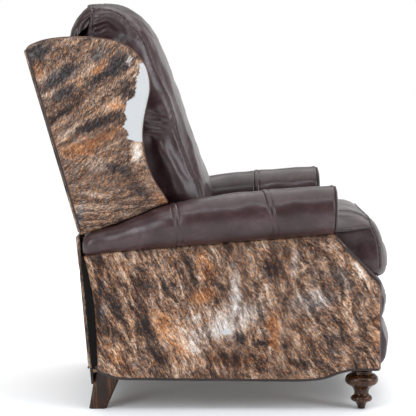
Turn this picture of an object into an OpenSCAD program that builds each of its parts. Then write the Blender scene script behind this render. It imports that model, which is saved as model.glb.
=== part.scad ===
// High-leg wing recliner: push-back chair whose back tilts, seat glides forward and footrest swings up.
// +X is the way the sitter faces, +Y is the sitter's left, +Z is up, and the origin is on the floor
// below the middle of the chair's outline. Lengths are in millimetres.

/* [Arms] */
// Clear width between the two arms
inner_w = 524; // [500:1:560]
// Thickness of the padding on the inside of an arm
inner_pad_t = 10; // [8:1:12]
// Thickness of the wooden posts and rails of an arm
arm_frame_t = 43; // [38:1:50]
// Thickness of the padded hide panel on the outside of an arm
side_panel_t = 30; // [22:1:36]
// Front edge of the arm posts
arm_front_x = 439; // [430:1:450]
// Height at which the front of an arm starts to slope back
arm_slope_z = 341; // [325:1:355]
// Front end of the arm roll
roll_front_x = 320; // [305:1:330]
// Height of the top of the arm roll at its front
roll_front_top = 594; // [585:1:605]
// Height of the top of the arm roll at its rear
roll_rear_top = 462; // [460:1:463]
// Height of the underside of the arm roll at its front
roll_front_low = 469; // [462:1:476]
// Height of the underside of the arm roll at its rear
roll_rear_low = 416; // [410:1:420]
// Distance from the inner face of an arm to the crest of its roll
roll_crest_w = 75; // [70:1:80]
// Height of the lower edge of the side panels
panel_bottom = 86; // [80:1:95]

/* [Seat] */
// Front of the seat cushion
seat_front_x = 483; // [478:1:488]
// Rear end of the seat cushion, against the lower part of the back
seat_rear_x = -18; // [-18:1:0]
// Height of the crown of the seat cushion
seat_top_z = 514; // [500:1:516]
// Height of the top of the seat deck
deck_top_z = 352; // [351:1:354]
// Thickness of the seat deck
deck_t = 7; // [4:1:8]
// Height of the wooden seat rails
seat_rail_h = 40; // [34:1:44]
// Thickness of the wooden seat rails
seat_rail_t = 22; // [20:1:26]
// Diameter of the sinuous spring wire
spring_d = 3.8; // [3:0.1:4.2]
// Number of sinuous springs under the deck
spring_count = 5; // [4:1:5]

/* [Back] */
// Height of the recline pivot above the floor
pivot_z = 474; // [473:1:476]
// Distance of the recline pivot behind the origin
pivot_back = 334; // [333:1:335]
// Lean of the back from upright, in degrees
back_lean = 16.1; // [15:0.1:17]
// Length of the outside back, along its lean
outside_back_h = 490; // [470:1:500]
// Thickness of the outside back panel
outside_back_t = 5.5; // [4:0.5:5.5]
// Depth of the wooden back frame
back_frame_d = 42; // [38:1:44]
// Thickness of the wooden side boards of the back
back_board_t = 30; // [24:1:32]
// Gap between the back cushion and the arm on each side
cushion_gap = 12; // [11:1:18]
// Gap between the back cushion and the wing on each side
wing_gap = 22; // [18:1:26]
// How much fuller the back cushion is at its middle than at its sides
back_crown = 34; // [20:1:38]
// Height of the head roll at the top of the back cushion
head_top_z = 1070; // [1050:1:1080]
// Thickness of the hide panel on the outside of a wing
wing_panel_t = 17; // [12:1:20]
// Thickness of the padded inner part of a wing
wing_pad_t = 46; // [40:1:48]
// How far a wing reaches forward of the outside back
wing_reach = 288; // [270:1:300]

/* [Mechanism] */
// Angle through which the back reclines, in degrees
recline_angle = 30; // [20:1:30]
// Slope of the glide rails, in degrees
glide_slope = 6; // [4:0.5:7]
// Distance that the seat glides as the back reclines
glide_travel = 61.5; // [40:0.5:62]
// Thickness of the flat steel links
link_t = 3.5; // [3:0.1:3.8]
// Width of the flat steel links
link_w = 16; // [14:0.5:17]
// Diameter of the eyes at the ends of the links
eye_d = 20; // [19:0.5:21]
// Diameter of the link pins
pin_d = 8; // [6:0.5:8]
// Radial running clearance of a pin in its bore
pin_clear = 0.05; // [0.02:0.01:0.1]
// Length of the swing link from the seat to the lift link
swing_len = 187.2; // [186:0.1:188]
// Length of the swing link beyond the lift link
swing_tail = 41.1; // [40:0.1:42]
// Length of the lift link from the swing link to the footrest
lift_len = 181.5; // [181:0.1:182.5]
// Length of the lift link beyond the swing link
lift_tail = 18; // [16:0.5:18]
// Diameter of the torque tube that joins the two swing links
tube_d = 19; // [16:0.5:22]
// Inside height of a glide rail
rail_h = 26; // [22:1:28]
// Length of a glide rail
rail_len = 476; // [460:1:490]
// Wall thickness of a glide rail
rail_wall = 3; // [2:0.5:4]
// Vertical clearance of a glide shoe in its rail, on each side
shoe_clear = 0.05; // [0.02:0.01:0.1]

/* [Footrest] */
// Gap between the footrest board and the arm on each side
footrest_gap = 17; // [14:1:24]
// Thickness of the footrest board
footrest_board_t = 16; // [12:1:18]
// Lowest edge of the footrest pads
footrest_low_z = 102; // [95:1:115]
// Highest edge of the footrest pads
footrest_top_z = 322; // [315:1:322]
// Height of the joint between the two footrest pads
footrest_split_z = 225; // [210:1:235]
// Thickness of the footrest pads
footrest_pad_t = 43; // [36:1:43]

/* [Legs] */
// Height of the turned front legs
front_leg_h = 105; // [100:1:112]
// Largest diameter of a front leg
front_leg_d = 88; // [80:1:92]
// Height of the square rear legs
rear_leg_h = 100; // [96:1:106]
// Width of a rear leg across the chair
rear_leg_w = 46; // [40:1:50]
// Diameter of the leg bolts
leg_bolt_d = 8; // [6:0.5:9]

/* [Hidden] */
$fn = 40;

leather = "#4b3f3c";
hide = "#8a6247";
wood = "#b98f5f";
walnut = "#3b2318";
steel = "#8d9196";
canvas = "#3a3733";

// Small gap between neighbouring soft solids
soft_gap = 0.3;
inner_half = inner_w/2;
// Cushions and footrest fill the width between the arms, and the wings stand outside the back cushion
back_cushion_w = inner_w - 2*cushion_gap;
footrest_w = inner_w - 2*footrest_gap;
outside_back_w = back_cushion_w + 2*(wing_gap + wing_pad_t + wing_panel_t);
frame_in = inner_half + inner_pad_t;
frame_out = frame_in + arm_frame_t;
panel_out = frame_out + side_panel_t;
crest_w = inner_half + roll_crest_w;

// Rear outline: the lower rear panel leans a little, and the back leans more
pivot = [-pivot_back, pivot_z];
rear_low_z = 115;
rear_top_z = pivot_z - 12;
rear_foot_x = pivot.x + 10;
rear_head_x = pivot.x - 20;
rear_panel_t = 8;
function rear_face(z) = rear_head_x + (rear_foot_x - rear_head_x)*(rear_top_z - z)/(rear_top_z - rear_low_z);

// Places on the leaning back: u runs up the outside back, v runs forward through its thickness
back_foot = [pivot.x - 14, pivot.y - 4];
function on_back(u, v) = back_foot + u*[-sin(back_lean), cos(back_lean)] + v*[cos(back_lean), sin(back_lean)];

// Arm roll: height of its top and of its underside at a distance along the chair
roll_rear_x = pivot.x - 2;
roll_rise = roll_front_top - roll_rear_top;
roll_rise_shape = [[0, 0], [0.15, 0.25], [0.37, 0.67], [0.58, 0.83], [0.8, 0.94], [1, 1]];
function along_roll(x) = (x - roll_rear_x)/(roll_front_x - roll_rear_x);
function roll_top(x) = roll_rear_top + roll_rise*lookup(along_roll(x), roll_rise_shape);
function roll_low(x) = roll_rear_low + (roll_front_low - roll_rear_low)*along_roll(x);
function arm_rail_top(x) = roll_low(x) - 12;

// Footrest linkage, in the plane of the links, at rest and open
swing_pivot = [380.4, 334];
steady_pivot = [363.9, 310.2];
swing_angle = 264.1;
lift_angle = 77;
function dir(a) = [cos(a), sin(a)];
swing_end = swing_pivot + swing_len*dir(swing_angle);
tie_pivot = swing_pivot + (swing_len + swing_tail)*dir(swing_angle);
lift_end = swing_end + lift_len*dir(lift_angle);
steady_end = swing_end - lift_tail*dir(lift_angle);
tie_end = lift_end + [-4.6, -40.6];
tube_reach = 93;
tube_centre = swing_pivot + tube_reach*dir(swing_angle);
// Free pivots: radial clearance, and how far the pin wanders in its slot half-way
free_clear = 0.6;
steady_clear = 1.6;
steady_slot = [-5.6, 0.2];
drive_slot = [-2.6, 4];
// Each millimetre of slot makes its eye this much wider
slot_growth = 0.9;
bore_d = pin_d + 2*pin_clear;

// Layers of flat steel across the chair, outward from the seat plates
layer_gap = 1;
plate_inset = 25;
plate_w = footrest_w/2 - plate_inset;
layer = [for (i = [0:4]) plate_w + (i == 0 ? 0 : layer_gap*i + link_t*i + 0.5)];
stud_end = 0.5;

// Drive links between the back brackets and the seat plates
drive_pin = pivot + [14, -130];
drive_end = drive_pin + [90, 0];
bracket_w = inner_half - 11.5;
bracket_t = 4;
hinge_w = bracket_w + bracket_t + 0.5;
drive_w = bracket_w - link_t - 1;
hinge_eye_d = 17;
hinge_pin_d = 9;

// Glide rails and shoes, on a line that rises forward
glide_z = 285;
shoe_x = [-180, 160];
shoe_len = 40;
shoe_w = 16;
rail_mid_x = 20;
rail_depth = 24;
rail_web_t = 4;
function glide_height(x) = glide_z + x*tan(glide_slope);

cushion_half = inner_half - 4;
seat_rail_top = deck_top_z - deck_t;
seat_rail_x = [-245, 402];
deck_x = [-245, 410];

module mirrored(side) {
    mirror([0, side < 0 ? 1 : 0, 0]) children();
}

module both_sides() {
    for (side = [-1, 1]) mirrored(side) children();
}

// Plate in the upright plane along the chair, from one distance across it, with a thickness
module upright(w, t) {
    translate([0, w + t, 0]) rotate([90, 0, 0]) linear_extrude(t) children();
}

// Round pin across the chair
module cross_pin(p, w, t, d) {
    upright(w, t) translate(p) circle(d = d);
}

// Straight link with two eyes: a round hole at one end, and a hole or a short square-ended slot at the other
module link_shape(p, q, hole_p, hole_q, slot = [0, 0]) {
    run = q - p;
    difference() {
        union() {
            translate(p) circle(d = eye_d);
            translate(q + slot/2) circle(d = eye_d + slot_growth*norm(slot));
            translate(p) rotate(atan2(run.y, run.x)) translate([0, -link_w/2]) square([norm(run), link_w]);
        }
        translate(p) circle(d = hole_p);
        if (norm(slot) > 0) translate(q + slot/2) rotate(atan2(slot.y, slot.x))
            square([norm(slot) + hole_q, hole_q], center = true);
        else translate(q) circle(d = hole_q);
    }
}

// Closed solid through rings of points that all have the same count
module loft(rings, cap_a, cap_b) {
    n = len(rings[0]);
    m = len(rings);
    points = [for (ring = rings) each ring, cap_a, cap_b];
    walls = [for (i = [0:m - 2], j = [0:n - 1])
        let (a = i*n + j, b = i*n + (j + 1)%n, c = a + n, d = b + n)
        each [[a, b, d], [a, d, c]]];
    first = [for (j = [0:n - 1]) [n*m, (j + 1)%n, j]];
    last = [for (j = [0:n - 1]) [n*m + 1, n*(m - 1) + j, n*(m - 1) + (j + 1)%n]];
    polyhedron(points, concat(walls, first, last));
}

// Corner of an outline, rounded by an arc of a given radius in a given number of steps
function corner(a, p, b, r, steps) =
    let (ta = (a - p)/norm(a - p), tb = (b - p)/norm(b - p),
        half = acos(ta*tb)/2,
        mid = (ta + tb)/norm(ta + tb),
        centre = p + mid*r/sin(half),
        from = p + ta*r/tan(half) - centre,
        turn = (ta.x*tb.y - ta.y*tb.x > 0 ? -1 : 1)*(180 - 2*half))
    [for (k = [0:steps]) let (g = turn*k/steps)
        centre + [from.x*cos(g) - from.y*sin(g), from.x*sin(g) + from.y*cos(g)]];

function rounded(outline, radii, steps = 4) =
    let (n = len(outline))
    [for (i = [0:n - 1]) each
        radii[i] == 0 ? [outline[i]] : corner(outline[(i + n - 1)%n], outline[i], outline[(i + 1)%n], radii[i], steps)];

// Closed band of a given thickness along an open path, on the left of its direction
function path_normal(path, i) =
    let (a = path[max(i - 1, 0)], b = path[min(i + 1, len(path) - 1)], run = (b - a)/norm(b - a))
    [-run.y, run.x];
function band(path, t) = concat(path, [for (i = [len(path) - 1:-1:0]) path[i] + t*path_normal(path, i)]);

// Front edge of an arm, set back by a given depth: a post that slopes back towards the roll
facing_t = 8;
facing_low_z = panel_bottom + 27;
slope_end = [roll_front_x + 4, arm_rail_top(roll_front_x) - soft_gap];
slope_run = slope_end - [arm_front_x, arm_slope_z];
slope_turn = atan2(-slope_run.x, slope_run.y);
function front_edge(set_back) = [
    [arm_front_x - set_back, facing_low_z],
    [arm_front_x - set_back, arm_slope_z - set_back*tan(slope_turn/2)],
    slope_end - set_back*[cos(slope_turn), sin(slope_turn)]];

front_post_x = arm_front_x - facing_t - 65;
rear_post_x = pivot.x + 84;
arm_rail_x = [rear_post_x, roll_front_x - 90];
arm_rail_h = 45;
post_foot_z = rear_leg_h;
side_board_t = 18;
side_board_z = [110, deck_top_z - 7];
board_clear = soft_gap;

module front_leg(side) {
    foot_r = 10;
    neck_r = 18.8;
    ring_r = 28.6;
    bead_r = front_leg_d/2;
    bead_z = front_leg_h - 27;
    cap_r = 28;
    bead = [for (a = [-60:20:60]) [bead_r - 13 + 13*cos(a), bead_z + 14*sin(a)]];
    ring = [for (a = [-60:30:60]) [ring_r - 8 + 8*cos(a), 28 + 8*sin(a)]];
    profile = concat([[0, 0], [foot_r, 0], [foot_r + 1, 6], [foot_r + 6, 16]], ring,
        [[neck_r + 1, 38], [neck_r, 45], [neck_r + 3, 53], [neck_r + 12, 61]], bead,
        [[cap_r + 1, front_leg_h - 12], [cap_r, front_leg_h - 8], [cap_r, front_leg_h], [0, front_leg_h]]);
    color(walnut) mirrored(side) translate([front_leg_x, leg_w, 0]) difference() {
        rotate_extrude($fn = 64) polygon(profile);
        translate([0, 0, leg_bolt_z[0]]) cylinder(d = leg_bolt_d + 2*pin_clear, h = front_leg_h);
    }
}
front_leg_x = arm_front_x - 46;
rear_leg_x = pivot.x + 54;
leg_w = frame_in + arm_frame_t/2 + 5;
rear_leg_mid_w = frame_in + 13;
leg_bolt_z = [60, 140];

module rear_leg(side) {
    steps = 6;
    rear_side = [for (k = [0:steps]) let (t = k/steps)
        [pivot.x + 24 - 14*t - 2*t*t*t, rear_leg_h*(1 - t)]];
    front_side = [for (k = [0:steps]) let (t = k/steps)
        [pivot.x + 97 - 43*t, rear_leg_h*(1 - t)]];
    color(walnut) mirrored(side) difference() {
        upright(rear_leg_mid_w - rear_leg_w/2, rear_leg_w)
            polygon(concat(rear_side, [for (k = [steps:-1:0]) front_side[k]]));
        translate([rear_leg_x, rear_leg_mid_w, leg_bolt_z[0]])
            cylinder(d = leg_bolt_d + 2*pin_clear, h = rear_leg_h);
    }
}

module leg_bolts() {
    color(steel) both_sides() {
        for (at = [[front_leg_x, leg_w], [rear_leg_x, rear_leg_mid_w]])
            translate([at.x, at.y, leg_bolt_z[0]]) cylinder(d = leg_bolt_d, h = leg_bolt_z[1] - leg_bolt_z[0]);
    }
}

module side_panel(side) {
    rear_x = [0, 12, 26, 32, 34];
    rear_z = [roll_low(pivot.x) - 5, 362, 279, 202, panel_bottom + 26];
    rear_edge = [for (i = [0:4]) [pivot.x + rear_x[i], rear_z[i]]];
    low_x = [-280, -247, -189, 150, 254, 293, 332, 358];
    low_rise = [14, 3, 2, -2, -1, 5, 21, 26];
    low_edge = [for (i = [0:7]) [low_x[i], panel_bottom + low_rise[i]]];
    front = front_edge(facing_t);
    top_edge = [[front[2].x, roll_low(front[2].x) - soft_gap], [pivot.x, roll_low(pivot.x) - soft_gap]];
    color(hide) mirrored(side) upright(frame_out, side_panel_t)
        polygon(concat(rear_edge, low_edge, front, top_edge));
}

// Section of an arm across the chair: a flat inner face, an oval shoulder and a round roll
module arm_roll(side) {
    shoulder_steps = 6;
    round_steps = 12;
    function section(x, inset) =
        let (top = roll_top(x), low = roll_low(x), r = (top - low)/2, mid_z = low + r, base = arm_rail_top(x),
            shoulder = [for (k = [0:shoulder_steps]) let (a = 180 - 90*k/shoulder_steps)
                [crest_w + roll_crest_w*cos(a), mid_z + r*sin(a)]],
            roll = [for (k = [1:round_steps]) let (a = 90 - 180*k/round_steps) [crest_w + r*cos(a), mid_z + r*sin(a)]],
            foot = [[frame_out, low], [frame_out, base], [inner_half, base]],
            centre = [crest_w - roll_crest_w/2, mid_z])
        [for (p = concat(shoulder, roll, foot)) let (q = centre + (p - centre)*(1 - inset/r)) [x, q.x, max(q.y, base)]];
    nose = [[20, 0], [9, 2], [3, 6], [0, 14]];
    body_x = [roll_rear_x, -300, -240, -165, -97, -30, 50, 130, 210, 270];
    rings = concat([for (x = body_x) section(x, 0)], [for (n = nose) section(roll_front_x - n[0], n[1])]);
    cap_w = crest_w - roll_crest_w/2;
    cap_rear = [roll_rear_x, cap_w, (roll_top(roll_rear_x) + roll_low(roll_rear_x))/2];
    cap_front = [roll_front_x + 3, cap_w, (roll_top(roll_front_x) + roll_low(roll_front_x))/2];
    color(leather) mirrored(side) loft(rings, cap_rear, cap_front);
}

module arm_inner_pad(side) {
    front = front_edge(facing_t);
    low_z = seat_rail_top - 5;
    color(leather) mirrored(side) upright(inner_half, inner_pad_t)
        polygon([[rear_post_x, low_z], [front[1].x, low_z - 4], front[1], front[2],
            [rear_post_x, arm_rail_top(rear_post_x)]]);
}

module arm_facing(side) {
    outer = front_edge(0);
    inner = front_edge(facing_t);
    color(leather) mirrored(side) upright(inner_half, panel_out - inner_half)
        polygon(concat(outer, [inner[2], inner[1], inner[0]]));
}

module front_post(side) {
    front = front_edge(facing_t);
    top_z = arm_rail_top(arm_rail_x[1]);
    color(wood) mirrored(side) difference() {
        upright(frame_in, arm_frame_t) polygon([
            [front_post_x, front_leg_h], [front[0].x, front_leg_h], front[1], front[2],
            [arm_rail_x[1], top_z], [arm_rail_x[1], top_z - arm_rail_h],
            [front[2].x, top_z - arm_rail_h - 15], [front_post_x, top_z - arm_rail_h - 60]]);
        translate([front_leg_x, leg_w, 0]) cylinder(d = leg_bolt_d + 2*pin_clear, h = leg_bolt_z[1]);
    }
}

module rear_post(side) {
    back_off = rear_panel_t + board_clear;
    top_x = roll_rear_x;
    color(wood) mirrored(side) difference() {
        upright(frame_in, arm_frame_t) polygon([
            [rear_face(post_foot_z) + back_off, post_foot_z], [rear_post_x, post_foot_z],
            [rear_post_x, arm_rail_top(rear_post_x)], [top_x, arm_rail_top(top_x)],
            [rear_face(arm_rail_top(top_x)) + back_off, arm_rail_top(top_x)]]);
        translate([rear_leg_x, rear_leg_mid_w, 0]) cylinder(d = leg_bolt_d + 2*pin_clear, h = leg_bolt_z[1]);
    }
}

module arm_rail(side) {
    a = arm_rail_x[0];
    b = arm_rail_x[1];
    color(wood) mirrored(side) upright(frame_in, arm_frame_t) polygon([
        [a, arm_rail_top(a) - arm_rail_h], [b, arm_rail_top(b) - arm_rail_h],
        [b, arm_rail_top(b)], [a, arm_rail_top(a)]]);
}

module side_board(side) {
    color(wood) mirrored(side) upright(frame_in, side_board_t) polygon([
        [rear_post_x, side_board_z[0]], [front_post_x, side_board_z[0]],
        [front_post_x, side_board_z[1]], [rear_post_x, side_board_z[1]]]);
}

module rear_gussets() {
    back_off = rear_panel_t + board_clear;
    low_z = panel_bottom + 26;
    high_z = roll_low(pivot.x) - 6;
    color(leather) both_sides() upright(frame_out, side_panel_t - 3) polygon([
        [rear_face(low_z) + back_off, low_z], [pivot.x + 33.5, low_z], [pivot.x + 31.5, 202],
        [pivot.x + 25.5, 279], [pivot.x + 11.5, 362], [pivot.x - 0.5, high_z],
        [rear_face(high_z) + back_off, high_z]]);
}

module rear_panel() {
    color(hide) upright(-outside_back_w/2, outside_back_w) polygon([
        [rear_face(rear_low_z), rear_low_z], [rear_face(rear_low_z) + rear_panel_t, rear_low_z],
        [rear_face(rear_top_z) + rear_panel_t, rear_top_z], [rear_face(rear_top_z), rear_top_z]]);
}

module rear_hem() {
    hem_h = 45;
    hem_t = 3;
    hem_in = 2.5;
    low_z = rear_low_z - hem_h;
    color(leather) upright(-outside_back_w/2 + 5, outside_back_w - 10) polygon([
        [rear_face(low_z) + hem_in, low_z], [rear_face(low_z) + hem_in + hem_t, low_z],
        [rear_face(rear_low_z) + hem_in + hem_t, rear_low_z], [rear_face(rear_low_z) + hem_in, rear_low_z]]);
}

cross_rail_z = [112, 150];
cross_rail_t = 22;
cross_rail_x = 252;

module front_cross_rail() {
    color(wood) translate([cross_rail_x, -frame_in, cross_rail_z[0]])
        cube([cross_rail_t, 2*frame_in, cross_rail_z[1] - cross_rail_z[0]]);
}

module rear_cross_rail() {
    back_off = rear_panel_t + board_clear;
    color(wood) upright(-frame_in, 2*frame_in) polygon([
        [rear_face(cross_rail_z[0]) + back_off, cross_rail_z[0]],
        [rear_face(cross_rail_z[0]) + back_off + cross_rail_t, cross_rail_z[0]],
        [rear_face(cross_rail_z[0]) + back_off + cross_rail_t, cross_rail_z[1]],
        [rear_face(cross_rail_z[1]) + back_off, cross_rail_z[1]]]);
}

// Channel rails, open towards the middle of the chair, in which the seat's shoes run
module glide_rails() {
    outer_h = rail_h + 2*rail_wall;
    color(steel) both_sides() translate([rail_mid_x, frame_in - rail_depth, glide_height(rail_mid_x)])
        rotate([0, -glide_slope, 0]) difference() {
            translate([-rail_len/2, 0, -outer_h/2]) cube([rail_len, rail_depth, outer_h]);
            translate([-rail_len/2 - 1, -1, -rail_h/2]) cube([rail_len + 2, rail_depth - rail_web_t + 1, rail_h]);
        }
}

module hinge_brackets() {
    foot_low = 340;
    foot_high = 400;
    color(steel) both_sides() {
        upright(hinge_w, bracket_t) {
            translate(pivot) circle(d = hinge_eye_d);
            polygon([pivot - [3, 0], [pivot.x + 2, foot_low], [pivot.x + 30, foot_low],
                [pivot.x + 30, foot_high], pivot + [hinge_eye_d/2, 0]]);
        }
        translate([pivot.x + 2, hinge_w + bracket_t, foot_low])
            cube([28, frame_in - hinge_w - bracket_t, foot_high - foot_low]);
        cross_pin(pivot, drive_w, hinge_w - drive_w + stud_end, hinge_pin_d);
    }
}

module seat_rail(side) {
    color(wood) mirrored(side)
        translate([seat_rail_x[0] + seat_rail_t, plate_w - seat_rail_t, seat_rail_top - seat_rail_h])
        cube([seat_rail_x[1] - seat_rail_x[0] - 2*seat_rail_t, seat_rail_t, seat_rail_h]);
}

module seat_front_rail() {
    color(wood) translate([seat_rail_x[1] - seat_rail_t, -plate_w, seat_rail_top - seat_rail_h])
        cube([seat_rail_t, 2*plate_w, seat_rail_h]);
}

module seat_rear_rail() {
    color(wood) translate([seat_rail_x[0], -plate_w, seat_rail_top - seat_rail_h])
        cube([seat_rail_t, 2*plate_w, seat_rail_h]);
}

module seat_springs() {
    bends = 22;
    swing = 24;
    from_x = seat_rail_x[0] + seat_rail_t + spring_d;
    run = seat_rail_x[1] - seat_rail_t - from_x;
    spacing = 2*(plate_w - seat_rail_t)/(spring_count + 0.4);
    path = [for (k = [0:4*bends]) let (t = k/(4*bends))
        [from_x + run*t, swing*max(-0.85, min(0.85, 1.2*sin(180*bends*t)))]];
    color(steel) for (i = [0:spring_count - 1])
        translate([0, spacing*(i - (spring_count - 1)/2) - spring_d/2, seat_rail_top - spring_d])
        linear_extrude(spring_d) polygon(band(path, spring_d));
}

module seat_deck() {
    color(canvas) translate([deck_x[0], -plate_w, seat_rail_top]) cube([deck_x[1] - deck_x[0], 2*plate_w, deck_t]);
}

// Upholstered form: outlines blended from the middle to the sides, drawn in between its corners
module cushion(mid, edge, radii, half, ys, insets, draw_in, power) {
    x_low = min([for (p = mid) p.x]);
    x_high = max([for (p = mid) p.x]);
    centre = (mid[0] + mid[floor(len(mid)/2)])/2;
    function ring(y, inset) =
        let (k = pow(abs(y), power), outline = rounded(mid*(1 - k) + edge*k, radii, 3))
        [for (p = outline) let (away = p - centre, q = p - away*min(1, inset/max(norm(away), 1)),
                bow = draw_in*pow(abs(y), 8)*sin(180*(p.x - x_low)/(x_high - x_low)))
            [q.x, y*(half - bow), q.y]];
    rings = [for (i = [0:len(ys) - 1]) ring(ys[i], insets[i])];
    side_centre = [(x_low + x_high)/2, 0, centre.y];
    loft(rings, side_centre - [0, half - draw_in, 0], side_centre + [0, half - draw_in, 0]);
}

module seat_cushion() {
    base = deck_top_z + soft_gap;
    f = seat_front_x;
    r = seat_rear_x;
    mid = [[r, base], [f - 53, base], [f - 44, base - 24], [f - 4, base - 30], [f + 2, base + 70],
        [f - 26, seat_top_z - 26], [f - 82, seat_top_z + 2], [r, seat_top_z - 10]];
    edge = [[r, base], [f - 53, base], [f - 46, base - 6], [f - 34, base - 4], [f - 26, base + 60],
        [f - 34, seat_top_z - 44], [f - 70, seat_top_z - 24], [r, seat_top_z - 34]];
    radii = [8, 4, 4, 16, 60, 30, 60, 14];
    stitch = 148/cushion_half;
    nip = 4/cushion_half;
    half_ys = [0.2, 0.4, stitch - nip, stitch, stitch + nip, 0.72, 0.86, 0.96, 1];
    half_insets = [0, 0, 0, 2.5, 0, 0, 0, 1, 9];
    count = len(half_ys);
    ys = concat([for (i = [count - 1:-1:0]) -half_ys[i]], [0], half_ys);
    insets = concat([for (i = [count - 1:-1:0]) half_insets[i]], [0], half_insets);
    color(leather) cushion(mid, edge, radii, cushion_half, ys, insets, 5, 3);
}

module seat_plates() {
    strip_z = [seat_rail_top - 33, seat_rail_top];
    strip_x = [seat_rail_x[0] + 5, swing_pivot.x + 4];
    tab_w = 28;
    color(steel) both_sides() {
        upright(plate_w, link_t) {
            translate([strip_x[0], strip_z[0]]) square([strip_x[1] - strip_x[0], strip_z[1] - strip_z[0]]);
            for (p = [drive_end, swing_pivot, steady_pivot]) translate(p) circle(d = eye_d);
            for (x = shoe_x) translate([x - tab_w/2, glide_height(x) - tab_w/2])
                square([tab_w, strip_z[0] + 1 - glide_height(x) + tab_w/2]);
        }
        cross_pin(swing_pivot, plate_w + link_t - stud_end, layer[1] - plate_w + stud_end*2, pin_d);
        cross_pin(steady_pivot, plate_w + link_t - stud_end, layer[3] - plate_w + stud_end*2, pin_d);
        cross_pin(drive_end, plate_w + link_t - stud_end, drive_w - plate_w + stud_end*2, pin_d);
        for (x = shoe_x) cross_pin([x, glide_height(x)], plate_w + link_t - stud_end, shoe_start_w - plate_w - link_t + stud_end, 10);
    }
}
shoe_start_w = frame_in - rail_web_t - 1.5 - shoe_w;

module glide_shoes() {
    shoe_h = rail_h - 2*shoe_clear;
    color("#e8e4da") both_sides() for (x = shoe_x)
        translate([x, shoe_start_w, glide_height(x)]) rotate([0, -glide_slope, 0])
            translate([-shoe_len/2, 0, -shoe_h/2]) cube([shoe_len, shoe_w, shoe_h]);
}

back_board_v = [outside_back_t, outside_back_t + back_frame_d];
back_board_out = back_cushion_w/2 - 5;
toe_z = [deck_top_z + 6, deck_top_z + 46];
toe_front_x = seat_rear_x - 6;
top_rail_u = outside_back_h - 42;

module back_board(side) {
    color(wood) mirrored(side) upright(back_board_out - back_board_t, back_board_t) polygon([
        on_back(0, back_board_v[0]), [pivot.x + 16, toe_z[0]], [toe_front_x, toe_z[0]], [toe_front_x, toe_z[1]],
        [on_back(0, back_board_v[1]).x + 22, toe_z[1]], on_back(-20, back_board_v[1]),
        on_back(top_rail_u, back_board_v[1]), on_back(top_rail_u, back_board_v[0])]);
}

module back_top_rail() {
    color(wood) upright(-wing_in, 2*wing_in) polygon([
        on_back(top_rail_u, back_board_v[0]), on_back(top_rail_u, back_board_v[1]),
        on_back(outside_back_h - 2, back_board_v[1]), on_back(outside_back_h - 2, back_board_v[0])]);
}
wing_in = back_cushion_w/2 + wing_gap;

module back_bottom_rail() {
    rail = back_board_out - back_board_t;
    color(wood) translate([toe_front_x - 22, -rail, toe_z[0]]) cube([22, 2*rail, toe_z[1] - toe_z[0]]);
}

module back_webbing() {
    strap_w = 50;
    strap_t = 2.5;
    straps = 5;
    pitch = (top_rail_u - 40)/straps;
    color(canvas) for (i = [0:straps - 1]) let (u = 50 + pitch*i)
        upright(-back_board_out, 2*back_board_out) polygon([
            on_back(u, back_board_v[1]), on_back(u, back_board_v[1] + strap_t),
            on_back(u + strap_w, back_board_v[1] + strap_t), on_back(u + strap_w, back_board_v[1])]);
}

module back_cushion() {
    rear_v = back_board_v[1] + 2.5 + soft_gap;
    low_z = toe_z[1] + 4;
    face_x = seat_rear_x - 3;
    top = head_top_z;
    mid = [[face_x, low_z], [face_x, seat_top_z - 2], [8, seat_top_z + 7], [-112, 862], [-145, top - 80],
        [-206, top + 3], [-345, top - 1], [-350, top - 66], [-388, top - 104],
        on_back(outside_back_h - 14, rear_v), on_back(-72, rear_v)];
    edge = [[face_x, low_z], [face_x, seat_top_z - 2], [8 - back_crown, seat_top_z + 6],
        [-112 - back_crown, 862], [-145 - back_crown, top - 100],
        [-206 - back_crown, top - 26], [-345, top - 22], [-350, top - 70], [-388, top - 104],
        on_back(outside_back_h - 14, rear_v), on_back(-72, rear_v)];
    radii = [5, 3, 8, 120, 50, 50, 6, 4, 6, 6, 6];
    half_ys = [0.25, 0.5, 0.72, 0.88, 0.965, 1];
    half_insets = [0, 0, 0, 0, 2, 12];
    count = len(half_ys);
    ys = concat([for (i = [count - 1:-1:0]) -half_ys[i]], [0], half_ys);
    insets = concat([for (i = [count - 1:-1:0]) half_insets[i]], [0], half_insets);
    color(leather) cushion(mid, edge, radii, back_cushion_w/2, ys, insets, 4, 3);
}

// Leather that closes the head roll behind: from the top rail it sweeps up to the head's rear edge
module head_flap() {
    flap_inset = 50;
    flap_t = 5;
    flap_w = back_cushion_w - 2*flap_inset;
    rear = on_back(outside_back_h - 2, outside_back_t + 0.5);
    foot = on_back(outside_back_h + 2, back_board_v[1] - 7.5);
    head = [-352, head_top_z - 8];
    rise = head - foot;
    path = [rear, foot, foot + [0.57*rise.x, 0.27*rise.y], foot + [0.81*rise.x, 0.59*rise.y], head];
    color(leather) upright(-flap_w/2, flap_w) polygon(band(path, flap_t));
}

module outside_back() {
    color(hide) upright(-outside_back_w/2, outside_back_w) polygon([
        on_back(0, 0), on_back(0, outside_back_t), on_back(outside_back_h, outside_back_t), on_back(outside_back_h, 0)]);
}

// Outline of a wing: its top and scooped front follow the back, its lower edge follows the arm
wing_shape = [[500, 30], [500, 60], [494, 99], [482, 148], [464, 196], [446, 233], [424, 259], [395, 277],
    [365, 287], [330, 288], [303, 281], [269, 262], [234, 243], [198, 230], [159, 223], [112, 221], [70, 227],
    [34, 239], [12, 246]];
wing_clear = 3;
wing_outline = let (h = outside_back_h/490, d = wing_reach/288,
        front = [for (p = wing_shape) on_back(p[0]*h, p[1]*d)])
    concat([on_back(4, outside_back_t + soft_gap), on_back(outside_back_h, outside_back_t + soft_gap)], front,
        [for (x = [-135, -170, -205, -240, -275, -310, pivot.x]) [x, roll_top(x) + wing_clear]]);

module wing_panel(side) {
    color(hide) mirrored(side) upright(wing_in + wing_pad_t, wing_panel_t) polygon(wing_outline);
}

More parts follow.
